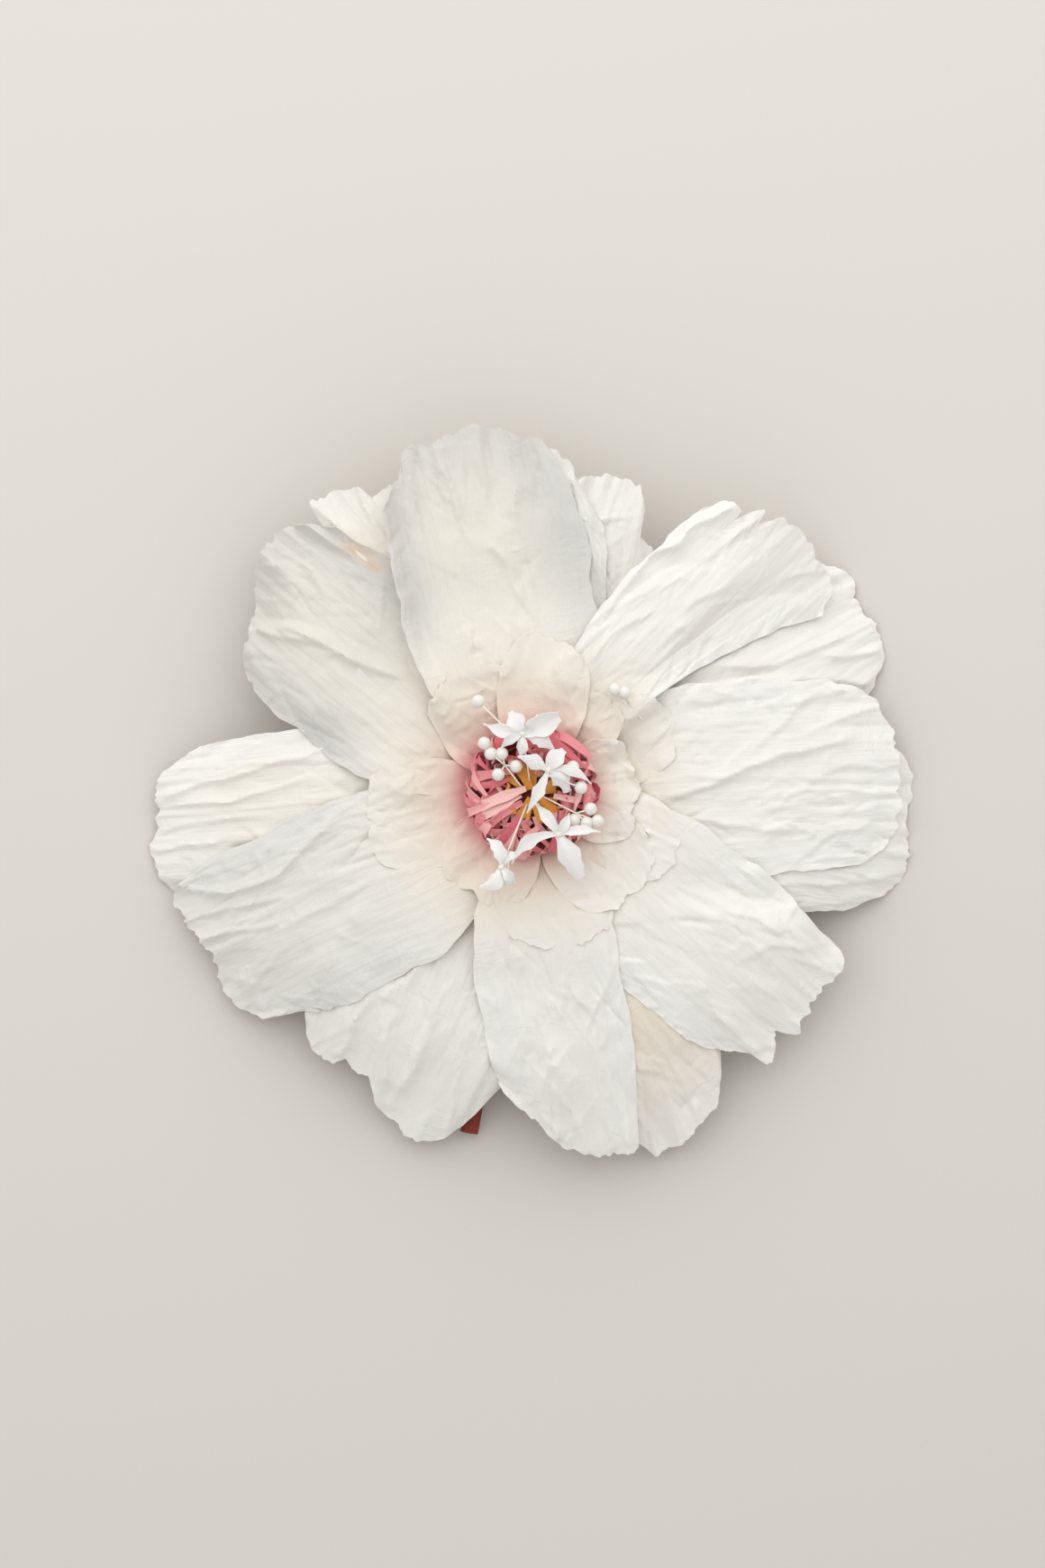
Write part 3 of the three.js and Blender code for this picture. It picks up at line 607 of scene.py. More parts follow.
class TopMap:
    def __init__(self):
        cells = int(2 * MAP_HALF / MAP_CELL)
        self.height = np.full((cells, cells), NOTHING)

    def cell(self, x, y):
        return ((y + MAP_HALF) / MAP_CELL).astype(int), ((x + MAP_HALF) / MAP_CELL).astype(int)

    def at(self, x, y):
        """The greatest height in and next to the cell at each place."""
        row, column = self.cell(np.asarray(x), np.asarray(y))
        steps = [(a, b) for a in (-1, 0, 1) for b in (-1, 0, 1)]
        return np.max([self.height[row + a, column + b] for a, b in steps], axis=0)

    def add(self, grid):
        """Lay a sheet on the map."""
        for _ in range(2):
            middles = (grid[1:] + grid[:-1]) / 2
            grid = np.concatenate([grid, middles]).transpose(1, 0, 2)
        np.maximum.at(self.height, self.cell(grid[..., 0], grid[..., 1]), grid[..., 2])


def blur(field, rounds):
    """Even out a field over its grid."""
    for _ in range(rounds):
        wide = np.pad(field, 1, mode="edge")
        field = (wide[:-2, 1:-1] + 2 * wide[1:-1, 1:-1] + wide[2:, 1:-1]) / 4
        wide = np.pad(field, 1, mode="edge")
        field = (wide[1:-1, :-2] + 2 * wide[1:-1, 1:-1] + wide[1:-1, 2:]) / 4
    return field


def lie_on(top, x, y, z, u, pull, limit):
    """Let a sheet sink towards what is under it, without going through it."""
    below = top.at(x, y)
    known = below > NOTHING
    if not known.any():
        return z
    gap = z - below - CLEAR
    outer = known & (u > OUTER_HALF)
    usual = gap[outer].mean() if outer.any() else 0
    free = np.minimum(z - FREE_HEIGHT, (usual + FREE_SAG * smooth(u, *SAG_ZONE)) * u)
    drop = blur(np.where(known, gap, free), SINK_ROUNDS)
    z = z - np.clip(pull * drop, 0, limit) * smooth(u, *SINK_ZONE)
    least = np.where(known, np.maximum(0, below + CLEAR - z), 0)
    lift = least
    for _ in range(TENT_ROUNDS):
        lift = np.maximum(blur(lift, 1), least)
    return z + lift


# Petals

def kind_of(petal):
    return BLUSH if petal["reach"] < SHORT_REACH else LONG


def breadth(petal):
    return petal["left"] + petal["right"]


def turned(along, across, turn):
    """Places along and across a petal, as x and y."""
    x = along * math.cos(turn) - across * math.sin(turn)
    y = along * math.sin(turn) + across * math.cos(turn)
    return x, y


def share_out(x, y):
    """How far out a place is, from 0 at the claws to 1 at the flower's edge."""
    return np.maximum(0, (np.hypot(x, y) - CLAW_RADIUS) / (FLOWER_RADIUS - CLAW_RADIUS))


def bowl_height(level, x, y):
    s = share_out(x, y)
    upper = np.maximum(0, np.cos(np.arctan2(y, x) - math.radians(UPPER_TURN))) ** UPPER_FOCUS
    spread = LEVEL_SPREAD * np.minimum(level, NEST_LEVEL) + NEST_SPREAD * np.maximum(0, level - NEST_LEVEL)
    bowl = CLAW_HEIGHT + level * LEVEL_STEP + spread * s
    cup = CUP_RISE * (1 - np.exp(-CUP_STEEPNESS * s))
    return bowl + cup + UPPER_RISE * upper * s * s - DROOP * s**DROOP_POWER


def room_at(level, x, y):
    """How far a fold may stand off its bowl without meeting the next petal."""
    spread = LEVEL_SPREAD if level <= NEST_LEVEL else NEST_SPREAD
    return ROOM * (LEVEL_STEP + spread * share_out(x, y))


def cut_outline(petal, u, v):
    """Distance along the petal's midline and across it."""
    side = np.where(v > 0, petal["left"], petal["right"])
    widening = 1 - (1 - u) ** petal["fullness"]
    if "right_power" in petal:
        widening = np.where(v > 0, widening, u ** petal["right_power"])
    half = CLAW_HALF_WIDTH + (side - CLAW_HALF_WIDTH) * widening
    across = v * half * (1 - TAPER * u**4)
    corner = SHOULDER * np.abs(v) ** 3 * u * u
    along = CLAW_RADIUS + (petal["reach"] - CLAW_RADIUS) * u * (1 - corner)
    return along, across


def tip_line(petal, v):
    """How far the tip stands out from its plain curve, after points measured along its edge."""
    turn = math.radians(petal["turn"])
    x, y = np.array(petal["tip"]).T
    along = x * math.cos(turn) + y * math.sin(turn)
    across = y * math.cos(turn) - x * math.sin(turn)
    at = across / (np.where(across > 0, petal["left"], petal["right"]) * (1 - TAPER))
    plain = CLAW_RADIUS + (petal["reach"] - CLAW_RADIUS) * (1 - SHOULDER * np.abs(at) ** 3)
    order = np.argsort(at)
    return np.interp(v, at[order], (along - plain)[order])


def frayed(petal, along, across, u, v, rng):
    """Cut the tip after its measured edge, with small teeth and nicks."""
    size = petal["reach"] / FLOWER_RADIUS
    edge = v[-1] * breadth(petal) / 2
    if "tip" in petal:
        line = tip_line(petal, v[-1])
    else:
        line = PLAIN_TIP[0] * size * noise(rng, edge, PLAIN_TIP[1] * size)
    wide = max(3, len(line) // TIP_PARTS) | 1
    padded = np.pad(line, wide // 2, mode="edge")
    broad = np.convolve(padded, np.ones(wide) / wide, mode="valid")
    teeth = waves(noise, rng, edge, TEETH)
    nicks = -NICK["depth"] * size * np.maximum(0, noise(rng, edge, NICK["spacing"]) - NICK["rarity"])
    along = along + broad * u**4 + (line - broad + teeth + nicks) * smooth(u, *TEETH_ZONE)
    spine = along[:, len(edge) // 2]
    left = waves(noise, rng, spine, SIDE_WAVES)
    right = waves(noise, rng, spine, SIDE_WAVES)
    margin = np.where(v > 0, left[:, None], right[:, None])
    across = across * (1 + SIDE_DEPTH * margin * smooth(np.abs(v), *FRAYED_MARGIN))
    return along, across


def ridge(t, steep):
    """A fold's section: gentle on one side and steep on the other."""
    gentle = np.where(t * steep > 0, STEEP, 1)
    return np.exp(-((t / gentle) ** 2))


def soft_folds(petal, u, v, rng):
    """Lengthwise folds that fan out from the claw, in units of the room there is for them."""
    steep = -1 if math.cos(math.radians(petal["turn"])) > 0 else 1
    height = np.zeros_like(u)
    for _ in range(int(breadth(petal) / SOFT_FOLD["spacing"])):
        middle = rng.uniform(-1, 1) + SOFT_FOLD["fan"] * rng.uniform(-1, 1) * u
        width = rng.uniform(*SOFT_FOLD["width"])
        tall = rng.uniform(*SOFT_FOLD["height"]) * rng.choice(SOFT_FOLD["ways"])
        start = rng.uniform(*SOFT_FOLD["start"])
        swell = smooth(u, start, start + SOFT_FOLD["swell"])
        height += tall * swell * ridge((v - middle) / width, steep * rng.choice([1, 1, -1]))
    return height


def crease(points, tall, width, x, y):
    """One crease along a line: gentle on the lit side, steep on the shaded side, faint at its start."""
    nearest = np.full(x.shape, np.inf)
    strength = np.zeros(x.shape)
    steep = max(STEEP, abs(tall) * STEEPEST / width)
    for n, ((ax, ay), (bx, by)) in enumerate(zip(points, points[1:])):
        dx, dy = bx - ax, by - ay
        t = np.clip(((x - ax) * dx + (y - ay) * dy) / (dx * dx + dy * dy), 0, 1)
        ex, ey = x - ax - t * dx, y - ay - t * dy
        away = np.hypot(ex, ey) + 1e-6
        lit = (ex * LIT_SIDE[0] + ey * LIT_SIDE[1]) / away
        away = away / (width * (steep + (1 - steep) * smooth(lit, -1, 1)))
        closer = away < nearest
        nearest = np.where(closer, away, nearest)
        strength = np.where(closer, (n + t) / (len(points) - 1), strength)
    return tall * smooth(strength, *CREASE_FADE) * np.exp(-CREASE_SHARPNESS * nearest)


def margin_curl(petal, u, v):
    """Side margins that stand up or hang down."""
    left = petal.get("left_curl", 0) * smooth(v, *CURLED_MARGIN)
    right = petal.get("right_curl", 0) * smooth(-v, *CURLED_MARGIN)
    return (left + right) * smooth(u, *CURL_ZONE)


def crumple(along, across, rng):
    """Small creases every way, as paper has after it was stretched and flattened again."""
    total = np.zeros_like(along)
    for period, share in CRUMPLES:
        a, b = turned(along, across, rng.uniform(*CRUMPLE_TURN))
        total += share * np.abs(noise2(rng, a, b, period * CRUMPLE_STRETCH, period))
    return total * 2 - CRUMPLE_MIDDLE


def crinkle(petal, along, across, rng):
    """One short sharp crease, most often near the grain's direction."""
    at = (rng.uniform(CLAW_RADIUS, petal["reach"]), rng.uniform(-petal["right"], petal["left"]))
    turn = rng.normal(0, CRINKLE["lean"]) + at[1] / petal["reach"] * CRINKLE["fan"]
    if rng.uniform() < CRINKLE["crosswise"]:
        turn += math.pi / 2
    half = rng.uniform(*CRINKLE["half"]) * (CRINKLE["cross_share"] if abs(turn) > 1 else 1)
    a = (along - at[0]) * math.cos(turn) + (across - at[1]) * math.sin(turn)
    b = (across - at[1]) * math.cos(turn) - (along - at[0]) * math.sin(turn)
    b = b + rng.uniform(*CRINKLE["bow"]) * a * a / half
    width = rng.uniform(*CRINKLE["width"]) * np.where(b * rng.choice([-1, 1]) > 0, STEEP, 1)
    tall = rng.choice([-1, 1]) * rng.uniform(*CRINKLE["height"])
    return tall * (1 - smooth(np.abs(a) / half, *CRINKLE["taper"])) * np.exp(-np.abs(b) / width)


def crinkles(petal, along, across, rng):
    """All the crinkles of a petal, denser in some patches."""
    height = np.zeros_like(along)
    for _ in range(int(petal["reach"] * breadth(petal) * CRINKLE["per_mm2"])):
        height += crinkle(petal, along, across, rng)
    patches = smooth(noise2(rng, along, across, *CRINKLE_PATCH["spacing"]), *CRINKLE_PATCH["fade"])
    return height * (CRINKLE_PATCH["least"] + CRINKLE_PATCH["more"] * patches)


def crepe(along, across, rng):
    """The paper's own grain: fine wrinkles along the petal, stronger in some places than in others."""
    drift = noise2(rng, along, across, CREPE["drift_spacing"], CREPE["drift_spacing"])
    wrinkles = noise2(rng, along + CREPE["drift"] * drift, across, *CREPE["wrinkles"])
    fine = noise2(rng, along, across, *CREPE["fine"])
    patches = noise2(rng, along, across, *CREPE_PATCH["spacing"])
    strong = CREPE_PATCH["middle"] + CREPE_PATCH["change"] * patches
    return (wrinkles + CREPE["fine_share"] * fine) * strong


def wrinkled(z, petal, along, across, u, room, rng):
    """The heights of a sheet with its crumples, grain and crinkles."""
    strong = petal.get("crumple", 1)
    z = z + CRUMPLE_HEIGHT * strong * room * crumple(along, across, rng) * smooth(u, *CRUMPLE_ZONE)
    z = z + CREPE["height"] * crepe(along, across, rng) * smooth(u, *CREPE_ZONE)
    return z + strong * crinkles(petal, along, across, rng) * smooth(u, *CRINKLE_ZONE)


def ruffled(z, petal, along, u, v, room, rng):
    """The heights of a sheet with waves along its margins and a ruffle at its tip."""
    spine = along[:, along.shape[1] // 2]
    left, right = (noise(rng, spine, spacing)[:, None] for spacing in MARGIN_SPACING)
    z = z + room * np.where(v > 0, left, right) * smooth(np.abs(v), *WAVY_MARGIN) * smooth(u, *WAVE_ZONE)
    ruffle = waves(zigzag, rng, v[-1] * breadth(petal) / 2, RUFFLES)
    kind = kind_of(petal)
    return z + petal.get("ruffle", kind["ruffle"]) * ruffle * smooth(u, *kind["ruffle_zone"])


def settled(z, petal, x, y, u, v):
    """The heights of a sheet that has come to rest on the table and on what is under it."""
    kind = kind_of(petal)
    if petal.get("rests"):
        z = z - (z[-1].min() - LOWEST) * u**4
    limit = kind["limit"] + kind["tip_limit"] * smooth(u, *TIP_SINK_ZONE)
    limit = limit + petal.get("right_sink", 0) * smooth(-v, *SINKING_MARGIN)
    return np.maximum(lie_on(top_map, x, y, z, u, kind["pull"], limit), LOWEST)


def fade_to(colour, rgb, share):
    return colour + (linear(rgb) - colour) * share[..., None]


def petal_colours(petal, x, y, v):
    """Pink and cream near the heart of the flower, white towards the tip, with painted light and shade and a
    painted warm shade where a petal asks for them.
    """
    r = np.hypot(x - HEART_CENTRE[0], y - HEART_CENTRE[1])
    radii = [stop for stop, _ in HEART_TINTS]
    stops = np.array([linear(rgb) for _, rgb in HEART_TINTS])
    heart = np.stack([np.interp(r, radii, channel) for channel in stops.T], axis=-1)
    out = smooth(r, *HEART_END)[..., None]
    # painted light and shade: the white is scaled by the petal's own factor, darker where its face turns
    # from the light, lighter where it faces it
    colour = heart * (1 - out) + petal.get("painted_light_and_tone", 1) * linear(WHITE) * out
    colour = fade_to(colour, WHITE, petal.get("pale", 0) * smooth(r, *PALE_START))
    cream = petal.get("cream", USUAL_CREAM) * (1 - smooth(np.abs(v), *WHITE_MARGIN))
    colour = fade_to(colour, CREAM, cream * smooth(r, *CREAM_START) * (1 - smooth(r, *CREAM_END)))
    # painted warm shade over a petal that lies in the shade of the petals over it
    return fade_to(colour, WARM_SHADE, petal.get("warm_shade", 0) * (1 - smooth(r, *WARM_SHADE_END)))


def petal_surface(petal, rows, columns, seed):
    """Points, tints and cut positions of a petal."""
    rng = np.random.default_rng(seed)
    steps = np.linspace(0, 1, rows + 1) ** ROW_CROWDING
    u, v = np.meshgrid(steps, np.linspace(-1, 1, columns + 1), indexing="ij")
    along, across = cut_outline(petal, u, v)
    flat = np.stack([across, along], axis=-1)
    along, across = frayed(petal, along, across, u, v, rng)
    x, y = turned(along, across, math.radians(petal["turn"]))
    room = room_at(petal["level"], x, y)
    level = petal["level"] + (petal.get("settles", petal["level"]) - petal["level"]) * u**4
    z = bowl_height(level, x, y) + petal.get("lift", 0) * u * u
    z = z + room * np.clip(soft_folds(petal, u, v, rng), -1, 1)
    bent_x = x + CREASE_BEND * noise2(rng, along, across, CREASE_BEND_SPACING, CREASE_BEND_SPACING)
    bent_y = y + CREASE_BEND * noise2(rng, along, across, CREASE_BEND_SPACING, CREASE_BEND_SPACING)
    for points, tall, width in petal.get("creases", []):
        z = z + crease(points, tall, width, bent_x, bent_y)
    z = z + margin_curl(petal, u, v)
    z = wrinkled(z, petal, along, across, u, room, rng)
    z = ruffled(z, petal, along, u, v, room, rng)
    z = settled(z, petal, x, y, u, v)
    tints = petal_colours(petal, x, y, v)
    # painted shadow: an orange-brown line along the shaded gap beside this petal's fold
    if "gap_shade" in petal:
        gap_shaded = crease(petal["gap_shade"], GAP_SHADE_STRENGTH, GAP_SHADE_WIDTH, bent_x, bent_y)
        tints = fade_to(tints, GAP_SHADE, gap_shaded)
    return np.stack([x, y, z], axis=-1), tints, flat


def add_sheet(name, node, grid, tints, flat, material):
    """A sheet of paper over a grid, glued to the core by its claw."""
    points, faces, colours = solid_sheet(grid, PAPER, tints)
    cut = np.concatenate([flat.reshape(-1, 2), flat.reshape(-1, 2)]) / CUT_UNIT
    made = piece(name, points, faces, material, colours, cut)
    sharpen(made)
    show(made, node)


def add_petal(node, petal, material, slot, seed):
    rows, columns = (int(count * FINE) for count in kind_of(petal)["grid"])
    grid, tints, flat = petal_surface(petal, rows, columns, seed)
    add_sheet(f"{node}_sheet", node, grid, tints, flat, material)
    top_map.add(grid)


def add_sepals(material):
    low, high = SEPAL["rounding"]
    for n in range(1, SEPAL["count"] + 1):
        steps = [np.linspace(start, 1, count + 1) for start, count in zip((0, -1), SEPAL_GRID)]
        u, v = np.meshgrid(*steps, indexing="ij")
        along = CLAW_RADIUS + (SEPAL["reach"] - CLAW_RADIUS) * u
        across = v * SEPAL["breadth"] / 2 * np.sin(math.pi * (low + high * u))
        x, y = turned(along, across, math.radians(SEPAL["first_turn"] + 360 / SEPAL["count"] * (n - 1)))
        points = np.stack([x, y, bowl_height(SEPAL["level"], x, y)], axis=-1)
        tints = np.broadcast_to(linear(SEPAL_GREEN), points.shape)
        flat = np.stack([across, along], axis=-1)
        add_sheet(f"sepal_{n}_sheet", f"sepal_{n}", points, tints, flat, material)


# Small solids of the centre, each as (points, faces, tints)

def revolved(profile, sides, colours, loop=False):
    """A closed solid turned from a profile that starts and ends on the axis, or from a loop."""
    profile = np.array(profile, float)
    angle = np.linspace(0, 2 * math.pi, sides, endpoint=False)
    r, z = profile[:, :1], profile[:, 1:]
    points = np.stack([r * np.cos(angle), r * np.sin(angle), z + 0 * angle], axis=-1).reshape(-1, 3)
    return points, ring_faces(len(profile), sides, loop), np.repeat(np.array(colours), sides, axis=0)


def ball(centre, radius, colour, rings=12):
    turns = np.linspace(-math.pi / 2, math.pi / 2, rings + 1)
    profile = np.stack([radius * np.cos(turns), radius * np.sin(turns)], axis=1)
    points, faces, tints = revolved(profile, 2 * rings, [colour] * (rings + 1))
    return points + np.array(centre), faces, tints


def tube(path, radius, colour, sides=8):
    """A round thread along a path."""
    path = np.array(path)
    ahead = np.gradient(path, axis=0)
    ahead /= np.linalg.norm(ahead, axis=1, keepdims=True)
    side = np.cross(ahead, (0.31, 0.95, 0.05))  # a direction that no thread runs in
    side /= np.linalg.norm(side, axis=1, keepdims=True)
    other = np.cross(ahead, side)
    angle = np.linspace(0, 2 * math.pi, sides, endpoint=False)[:, None]
    ring = side[:, None] * np.cos(angle) + other[:, None] * np.sin(angle)
    points = (path[:, None] + radius * ring).reshape(-1, 3)
    faces = ring_faces(len(path), sides).tolist()
    last = (len(path) - 1) * sides
    faces += [list(range(sides))[::-1], list(range(last, last + sides))]
    return points, faces, np.broadcast_to(colour, points.shape)


def joined(parts):
    """Several solids as one mesh."""
    points, faces, tints = [], [], []
    start = 0
    for part_points, part_faces, part_tints in parts:
        points.append(part_points)
        faces += [[index + start for index in face] for face in part_faces]
        tints.append(part_tints)
        start += len(part_points)
    return np.concatenate(points), faces, np.concatenate(tints)


def bezier(a, b, c, d, count):
    t = np.linspace(0, 1, count)[:, None]
    a, b, c, d = (np.array(p, float) for p in (a, b, c, d))
    return a * (1 - t) ** 3 + 3 * b * t * (1 - t) ** 2 + 3 * c * t * t * (1 - t) + d * t**3


def ribbon(spine, widths, side, cup, colour, columns=4, thickness=RIBBON_PAPER):
    """A cupped strip of paper along a spine."""
    ahead = np.gradient(spine, axis=0)
    ahead /= np.linalg.norm(ahead, axis=1, keepdims=True)
    side = side - ahead * (side * ahead).sum(axis=1, keepdims=True)
    side /= np.linalg.norm(side, axis=1, keepdims=True) + 1e-9
    face = np.cross(ahead, side)
    v = np.linspace(-1, 1, columns + 1)[None, :, None]
    half = (np.asarray(widths) / 2)[:, None, None]
    bowed = cup * half * np.abs(v) ** RIBBON_CUP_POWER * face[:, None]
    grid = spine[:, None] + v * half * side[:, None] + bowed
    if np.ndim(colour) == 2:
        colour = np.asarray(colour)[:, None]
    return solid_sheet(grid, thickness, colour)


def add_part(name, node, parts, material):
    points, faces, tints = joined(parts)
    made = piece(name, points, faces, material, tints)
    sharpen(made)
    show(made, node)
    return made


# Centre: core, fringes, blossoms and buds

def add_core(material):
    # the core is painted the dark red-brown of the shade in the gaps between the strips
    wad = revolved(CORE_PROFILE, CORE_SIDES, [linear(CORE_SHADE_RED)] * len(CORE_PROFILE))
    add_part("centre_core_wad", "centre_core", [wad], material)


def blade(fringe, n, rng):
    """One strip of a fringe: up from the band, over, and in towards the middle."""
    angle = 2 * math.pi * (n + rng.uniform(*BLADE["jitter"])) / fringe["blades"]
    lean = math.radians(fringe["lean"]) * rng.uniform(-1, 1)
    rise = rng.uniform(*BLADE["rise"])
    reach = rng.uniform(*BLADE["reach"])
    knee = fringe["knee"][0] + rng.uniform(*BLADE["bow"])
    tip = max(BLADE["least_radius"], fringe["tip"][0] + reach)
    stops = [(*fringe["foot"], 0), (knee, fringe["foot"][1] + BLADE["start"], 0),
             (knee, fringe["knee"][1] + rise, lean * BLADE["knee_lean"]),
             (tip, fringe["tip"][1] + rise, lean)]
    ends = [(r * math.cos(angle + a), r * math.sin(angle + a), CORE_TOP + h) for r, h, a in stops]
    t = np.linspace(0, 1, BLADE["points"])
    width = fringe["width"] * rng.uniform(*BLADE["width"])
    widths = width * (1 - rng.uniform(*BLADE["taper"]) * t**3)
    tilt = rng.uniform(*BLADE["tilt"]) * t
    around = np.stack([-np.sin(angle + lean * t), np.cos(angle + lean * t), tilt], axis=1)
    return bezier(*ends, BLADE["points"]), widths, around


def loose_strip(start, end, width, rng):
    """A longer strip of the fringe that lies across the others."""
    start, end = np.array(start), np.array(end)
    out = start / np.linalg.norm(start)
    foot = (*(LOOSE["foot"][0] * out), CORE_TOP + LOOSE["foot"][1])
    knee = (*(start + LOOSE["knee"][0] * out), CORE_TOP + LOOSE["knee"][1])
    share, height = LOOSE["over"]
    over = (*(start * (1 - share) + end * share), CORE_TOP + height)
    spine = bezier(foot, knee, over, (*end, CORE_TOP + LOOSE["end"]), LOOSE["points"])
    t = np.linspace(0, 1, LOOSE["points"])
    length = t * LOOSE["length"]
    ragged = 1 + waves(noise, rng, length, [LOOSE["ragged"]])
    widths = width * (0.75 + 0.3 * smooth(t, 0, 0.5)) * ragged
    widths = widths * (1 - rng.uniform(*LOOSE["taper"]) * smooth(t, 0.8, 1))
    across = np.array([start[1] - end[1], end[0] - start[0], 0]) / np.linalg.norm(end - start)
    tilt = rng.uniform(*LOOSE["tilt"]) * t + waves(noise, rng, length, [LOOSE["roll"]])
    around = across + np.array([0, 0, 1]) * tilt[:, None]
    spine = spine + across * (waves(noise, rng, length, [LOOSE["sway"]]) * t)[:, None]
    return ribbon(spine, widths, around, rng.uniform(*LOOSE["cup"]), linear(PINKS[rng.integers(len(PINKS))]))


def add_fringe(fringe, seed, colours, material):
    """A strip cut into blades and wound round the core."""
    rng = np.random.default_rng(seed)
    radius, height = fringe["foot"]
    profile = [(radius + r, CORE_TOP + height + z) for r, z in BAND]
    # painted shade: the band and the blades' feet are dark red, as the deep part of the fringe lies in
    # shade, fading into each blade's own colour
    foot_shade = linear(FRINGE_FOOT_SHADE)
    parts = [revolved(profile, BAND_SIDES, [foot_shade] * len(profile), loop=True)]
    for n in range(fringe["blades"]):
        spine, widths, around = blade(fringe, n, rng)
        mixed = linear(colours[rng.integers(len(colours))]) * rng.uniform(*BLADE["painted_light_and_tone"])
        fade = smooth(np.linspace(0, 1, len(spine)), *BLADE["shaded_foot"])[:, None]
        colour = foot_shade * (1 - fade) + mixed * fade
        parts.append(ribbon(spine, widths, around, rng.uniform(*BLADE["cup"]), colour))
    if fringe["node"] == "pink_fringe_outer":
        parts += [loose_strip(*strip, rng) for strip in LOOSE_STRIPS]
    made = add_part(f"{fringe['node']}_strip", fringe["node"], parts, material)


def star_petal(heart, tip, width, height, rng):
    """A petal of a blossom: bent, twisted and folded along its middle; wide ones end bluntly."""
    heart, tip = np.array([*heart, height]), np.array([*tip, height])
    out = tip - heart
    t = np.linspace(0, 1, STAR["points"])
    bend = np.cross(out, (0, 0, 1)) * rng.uniform(*STAR["bend"])
    spine = heart + out * t[:, None] + bend * (4 * t * (1 - t))[:, None]
    spine[:, 2] += STAR["arch"] * np.sin(math.pi * t) - rng.uniform(*STAR["drop"]) * t**2
    blunt = smooth(np.array(width), *STAR["blunt"])
    widths = width * (0.4 + 0.75 * smooth(t, 0, 0.5)) * (1 - (0.9 - 0.35 * blunt) * smooth(t, 0.5, 1))
    widths = widths * (1 + waves(noise, rng, t * np.linalg.norm(out), [STAR["ragged"]]))
    twist = rng.uniform(*STAR["twist"]) * t[:, None]
    flat_side = np.cross(out, (0, 0, 1)) / np.linalg.norm(out)
    side = flat_side * np.cos(twist) + np.array([0, 0, 1]) * np.sin(twist)
    fold = rng.choice([-1, 1]) * rng.uniform(*STAR["fold"])
    return ribbon(spine, widths, side, fold, linear(BLOSSOM_WHITE), columns=6, thickness=STAR["paper"])


def thread(foot, head, count=14):
    foot, head = np.array(foot, float), np.array(head, float)
    over = foot + (head - foot) * THREAD_BEND
    over[2] = head[2] + THREAD_ARCH
    return bezier(foot, foot + (0, 0, THREAD_RISE), over, head, count)


def forks(start, buds, height):
    """Buds on threads of their own that leave a shared thread."""
    parts = []
    for x, y in buds:
        middle = (np.array(start) + (x, y, height)) / 2 + (0, 0, FORK_ARCH)
        parts.append(tube(bezier(start, middle, middle, (x, y, height), 10), THREAD_RADIUS, linear(CREAM)))
        parts.append(ball((x, y, height), BUD_RADIUS, linear(BUD_WHITE)))
    return parts


def foot_at(degrees):
    x, y = turned(SPRAY_FOOT_RADIUS, 0, math.radians(degrees))
    return (x, y, CORE_TOP - SPRAY_FOOT_DEPTH)


def add_blossom(number, blossom, material):
    rng = np.random.default_rng(BLOSSOM_SEED + number)
    heart = (*blossom["heart"], blossom["height"])
    path = thread(foot_at(blossom["foot"]), heart)
    parts = [tube(path, THREAD_RADIUS, linear(CREAM)), ball(heart, STAR_HEART, linear(CREAM))]
    for x, y, width in blossom["tips"]:
        parts.append(star_petal(blossom["heart"], (x, y), width, blossom["height"], rng))
    parts += forks(path[STAR_FORK], blossom["buds"], blossom["height"] - BUD_DROP)
    add_part(f"blossom_{number}_star", f"blossom_{number}", parts, material)


def add_sprig(number, path, buds, height, material):
    parts = [tube(path, THREAD_RADIUS, linear(CREAM))]
    parts += forks(path[-1], buds, height)
    add_part(f"bud_sprig_{number}_beads", f"bud_sprig_{number}", parts, material)


def add_side_sprig(number, material):
    """The sprig between the blush petals stands on the petal under it."""
    foot = np.array([*SIDE_SPRIG["start"], top_map.at(*SIDE_SPRIG["start"]) + THREAD_RADIUS])
    height = foot[2] + SIDE_SPRIG["rise"]
    head = np.array([*SIDE_SPRIG["towards"], height - SIDE_SPRIG["drop"]])
    fork = foot * (1 - SIDE_SPRIG["share"]) + head * SIDE_SPRIG["share"]
    add_sprig(number, bezier(foot, foot, fork, fork, 6), SIDE_SPRIG["buds"], height, material)


# Stage

def add_table():
    mesh = bpy.data.meshes.new("table")
    corners = [(-1, -1), (1, -1), (1, 1), (-1, 1)]
    mesh.from_pydata([(x * TABLE_HALF, y * TABLE_HALF, 0) for x, y in corners], [], [(0, 1, 2, 3)])
    mesh.materials.append(plain_material("table", TABLE, roughness=0.8, grain=40, depth=0.02))
    table = add_object("table", mesh)


def add_window():
    lamp = bpy.data.lights.new("window", "AREA")
    lamp.shape = "RECTANGLE"
    lamp.size, lamp.size_y = WINDOW_SIZE
    lamp.energy = WINDOW_POWER
    made = add_object("window", lamp)
    made.location = WINDOW_PLACE
    made.rotation_euler = (-Vector(WINDOW_PLACE)).to_track_quat("-Z", "Y").to_euler()


def add_world():
    world = bpy.data.worlds.new("room")
    bpy.context.scene.world = world
    world.use_nodes = True
    put(world.node_tree.nodes["Background"], Color=(1, 1, 1, 1), Strength=ROOM_LIGHT)


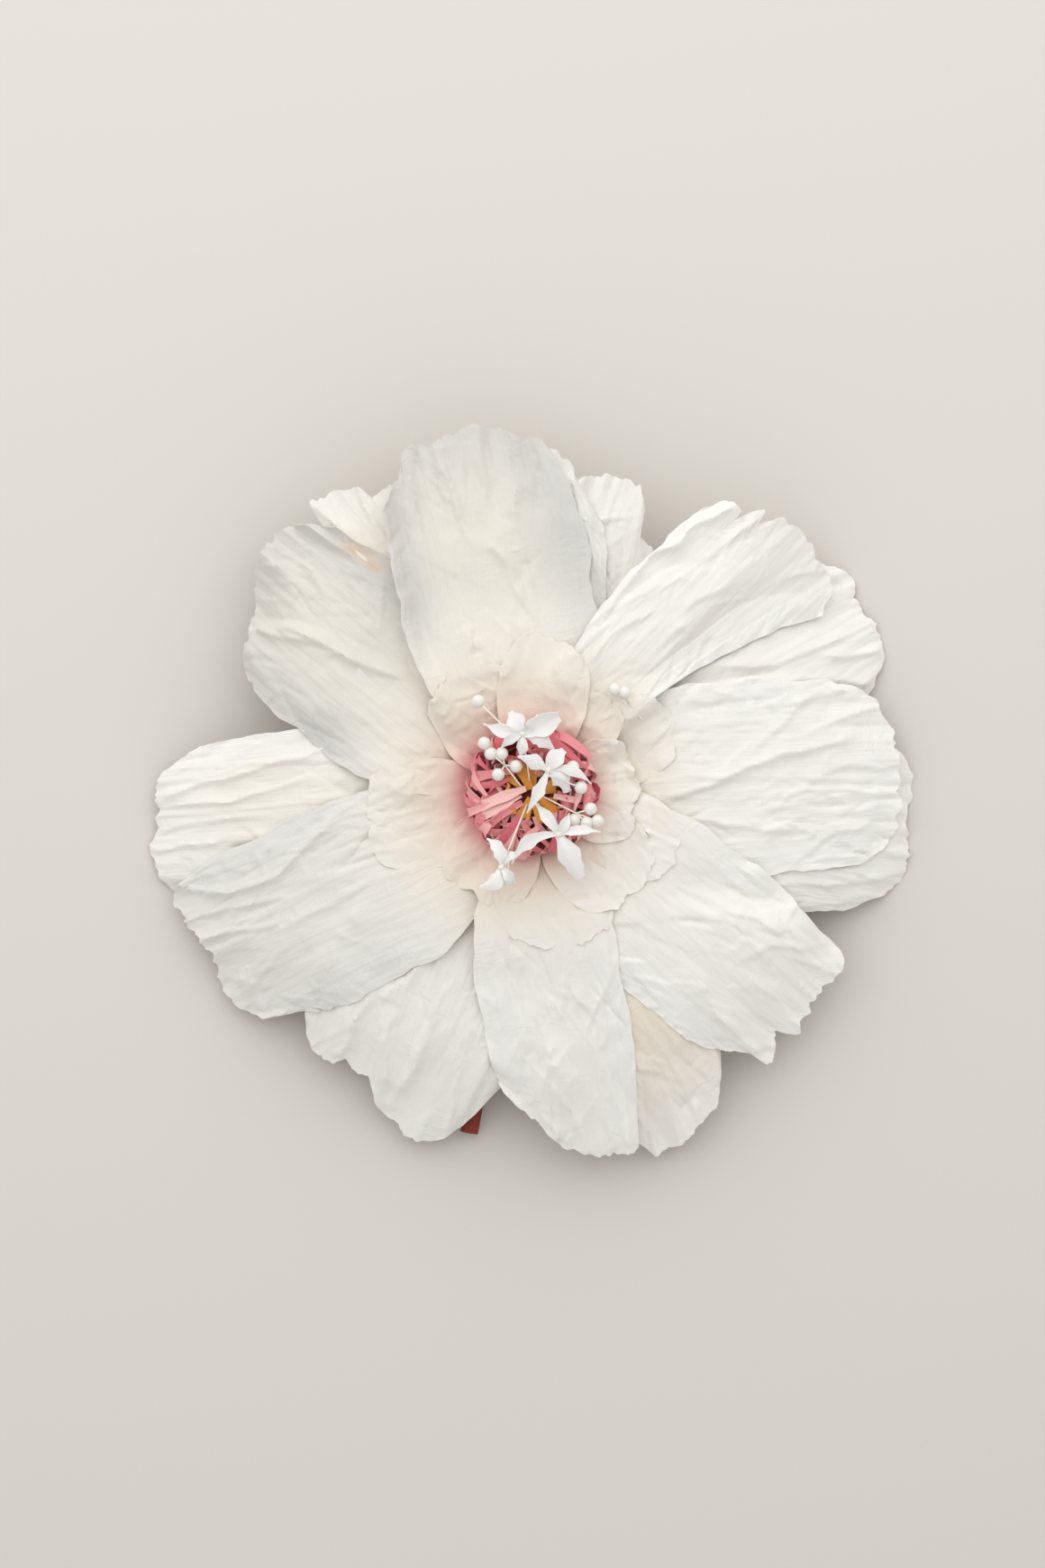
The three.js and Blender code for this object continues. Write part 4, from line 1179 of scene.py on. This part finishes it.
def add_camera():
    lens = bpy.data.cameras.new("camera")
    lens.sensor_width = SENSOR
    tall = PICTURE[1] / PIXELS_PER_MM * MM
    lens.lens = SENSOR * (CAMERA_HEIGHT - FOCUS_HEIGHT) / tall
    lens.clip_start = NEAREST
    made = add_object("camera", lens)
    aside = (PICTURE[0] / 2 - FLOWER_PIXEL[0]) / PIXELS_PER_MM * MM
    above = (FLOWER_PIXEL[1] - PICTURE[1] / 2) / PIXELS_PER_MM * MM
    made.location = (AXIS[0] + aside, AXIS[1] + above, CAMERA_HEIGHT)
    bpy.context.scene.camera = made


# The whole flower, from its lowest petal up

top_map = TopMap()
white_paper = paper_material("white crepe paper")
blush_paper = paper_material("blush crepe paper", wrinkle=0.2)
petals = []
for prefix, table, paper, slot, first_seed in (
    ("guard_petal", GUARD_PETALS, white_paper, "white_paper", 1),
    ("petal", MAIN_PETALS, white_paper, "white_paper", 21),
    ("blush_petal", BLUSH_PETALS, blush_paper, "blush_paper", 41),
):
    petals += [(f"{prefix}_{n + 1}", petal, paper, slot, first_seed + n) for n, petal in enumerate(table)]
for entry in sorted(petals, key=lambda entry: entry[1]["level"]):
    add_petal(*entry)

add_core(tinted_material("wadded core paper", roughness=0.9, grain=700, depth=0.5))
fringe_paper = tinted_material("fringe paper", roughness=0.85, grain=900, depth=0.3)
for fringe, seed, colours in zip(FRINGES, FRINGE_SEEDS, (PINKS, PINKS, OCHRES)):
    add_fringe(fringe, seed, colours, fringe_paper)
blossom_paper = tinted_material("blossom paper", roughness=0.6, grain=600, depth=0.15, glow=0.3)
for number, blossom in enumerate(BLOSSOMS, 1):
    add_blossom(number, blossom, blossom_paper)
bud_lacquer = tinted_material("bud lacquer", roughness=0.35, grain=300, depth=0.05, glow=0.3)
for number, sprig in enumerate(SPRIGS, 1):
    centre = np.mean(sprig["buds"], axis=0)
    path = thread(foot_at(sprig["foot"]), (*(SPRIG_LEAN * centre), sprig["height"] - SPRIG_DROP))
    add_sprig(number, path, sprig["buds"], sprig["height"], bud_lacquer)
add_side_sprig(len(SPRIGS) + 1, bud_lacquer)
add_sepals(paper_material("sepal crepe paper", wrinkle=0.3, glow=0.1))

FINISHES = {
    "stem_wrap": plain_material("stem tape", STEM_RED, roughness=0.8, grain=900, depth=0.4),
    "stem_wire": plain_material("stem wire", WIRE_GREY, roughness=0.4, grain=900, depth=0.05, metallic=1),
}
for name, finish in FINISHES.items():
    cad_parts[name].data.materials.clear()
    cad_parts[name].data.materials.append(finish)

add_table()
add_window()
add_world()
add_camera()
bpy.context.scene.view_settings.view_transform = "Standard"
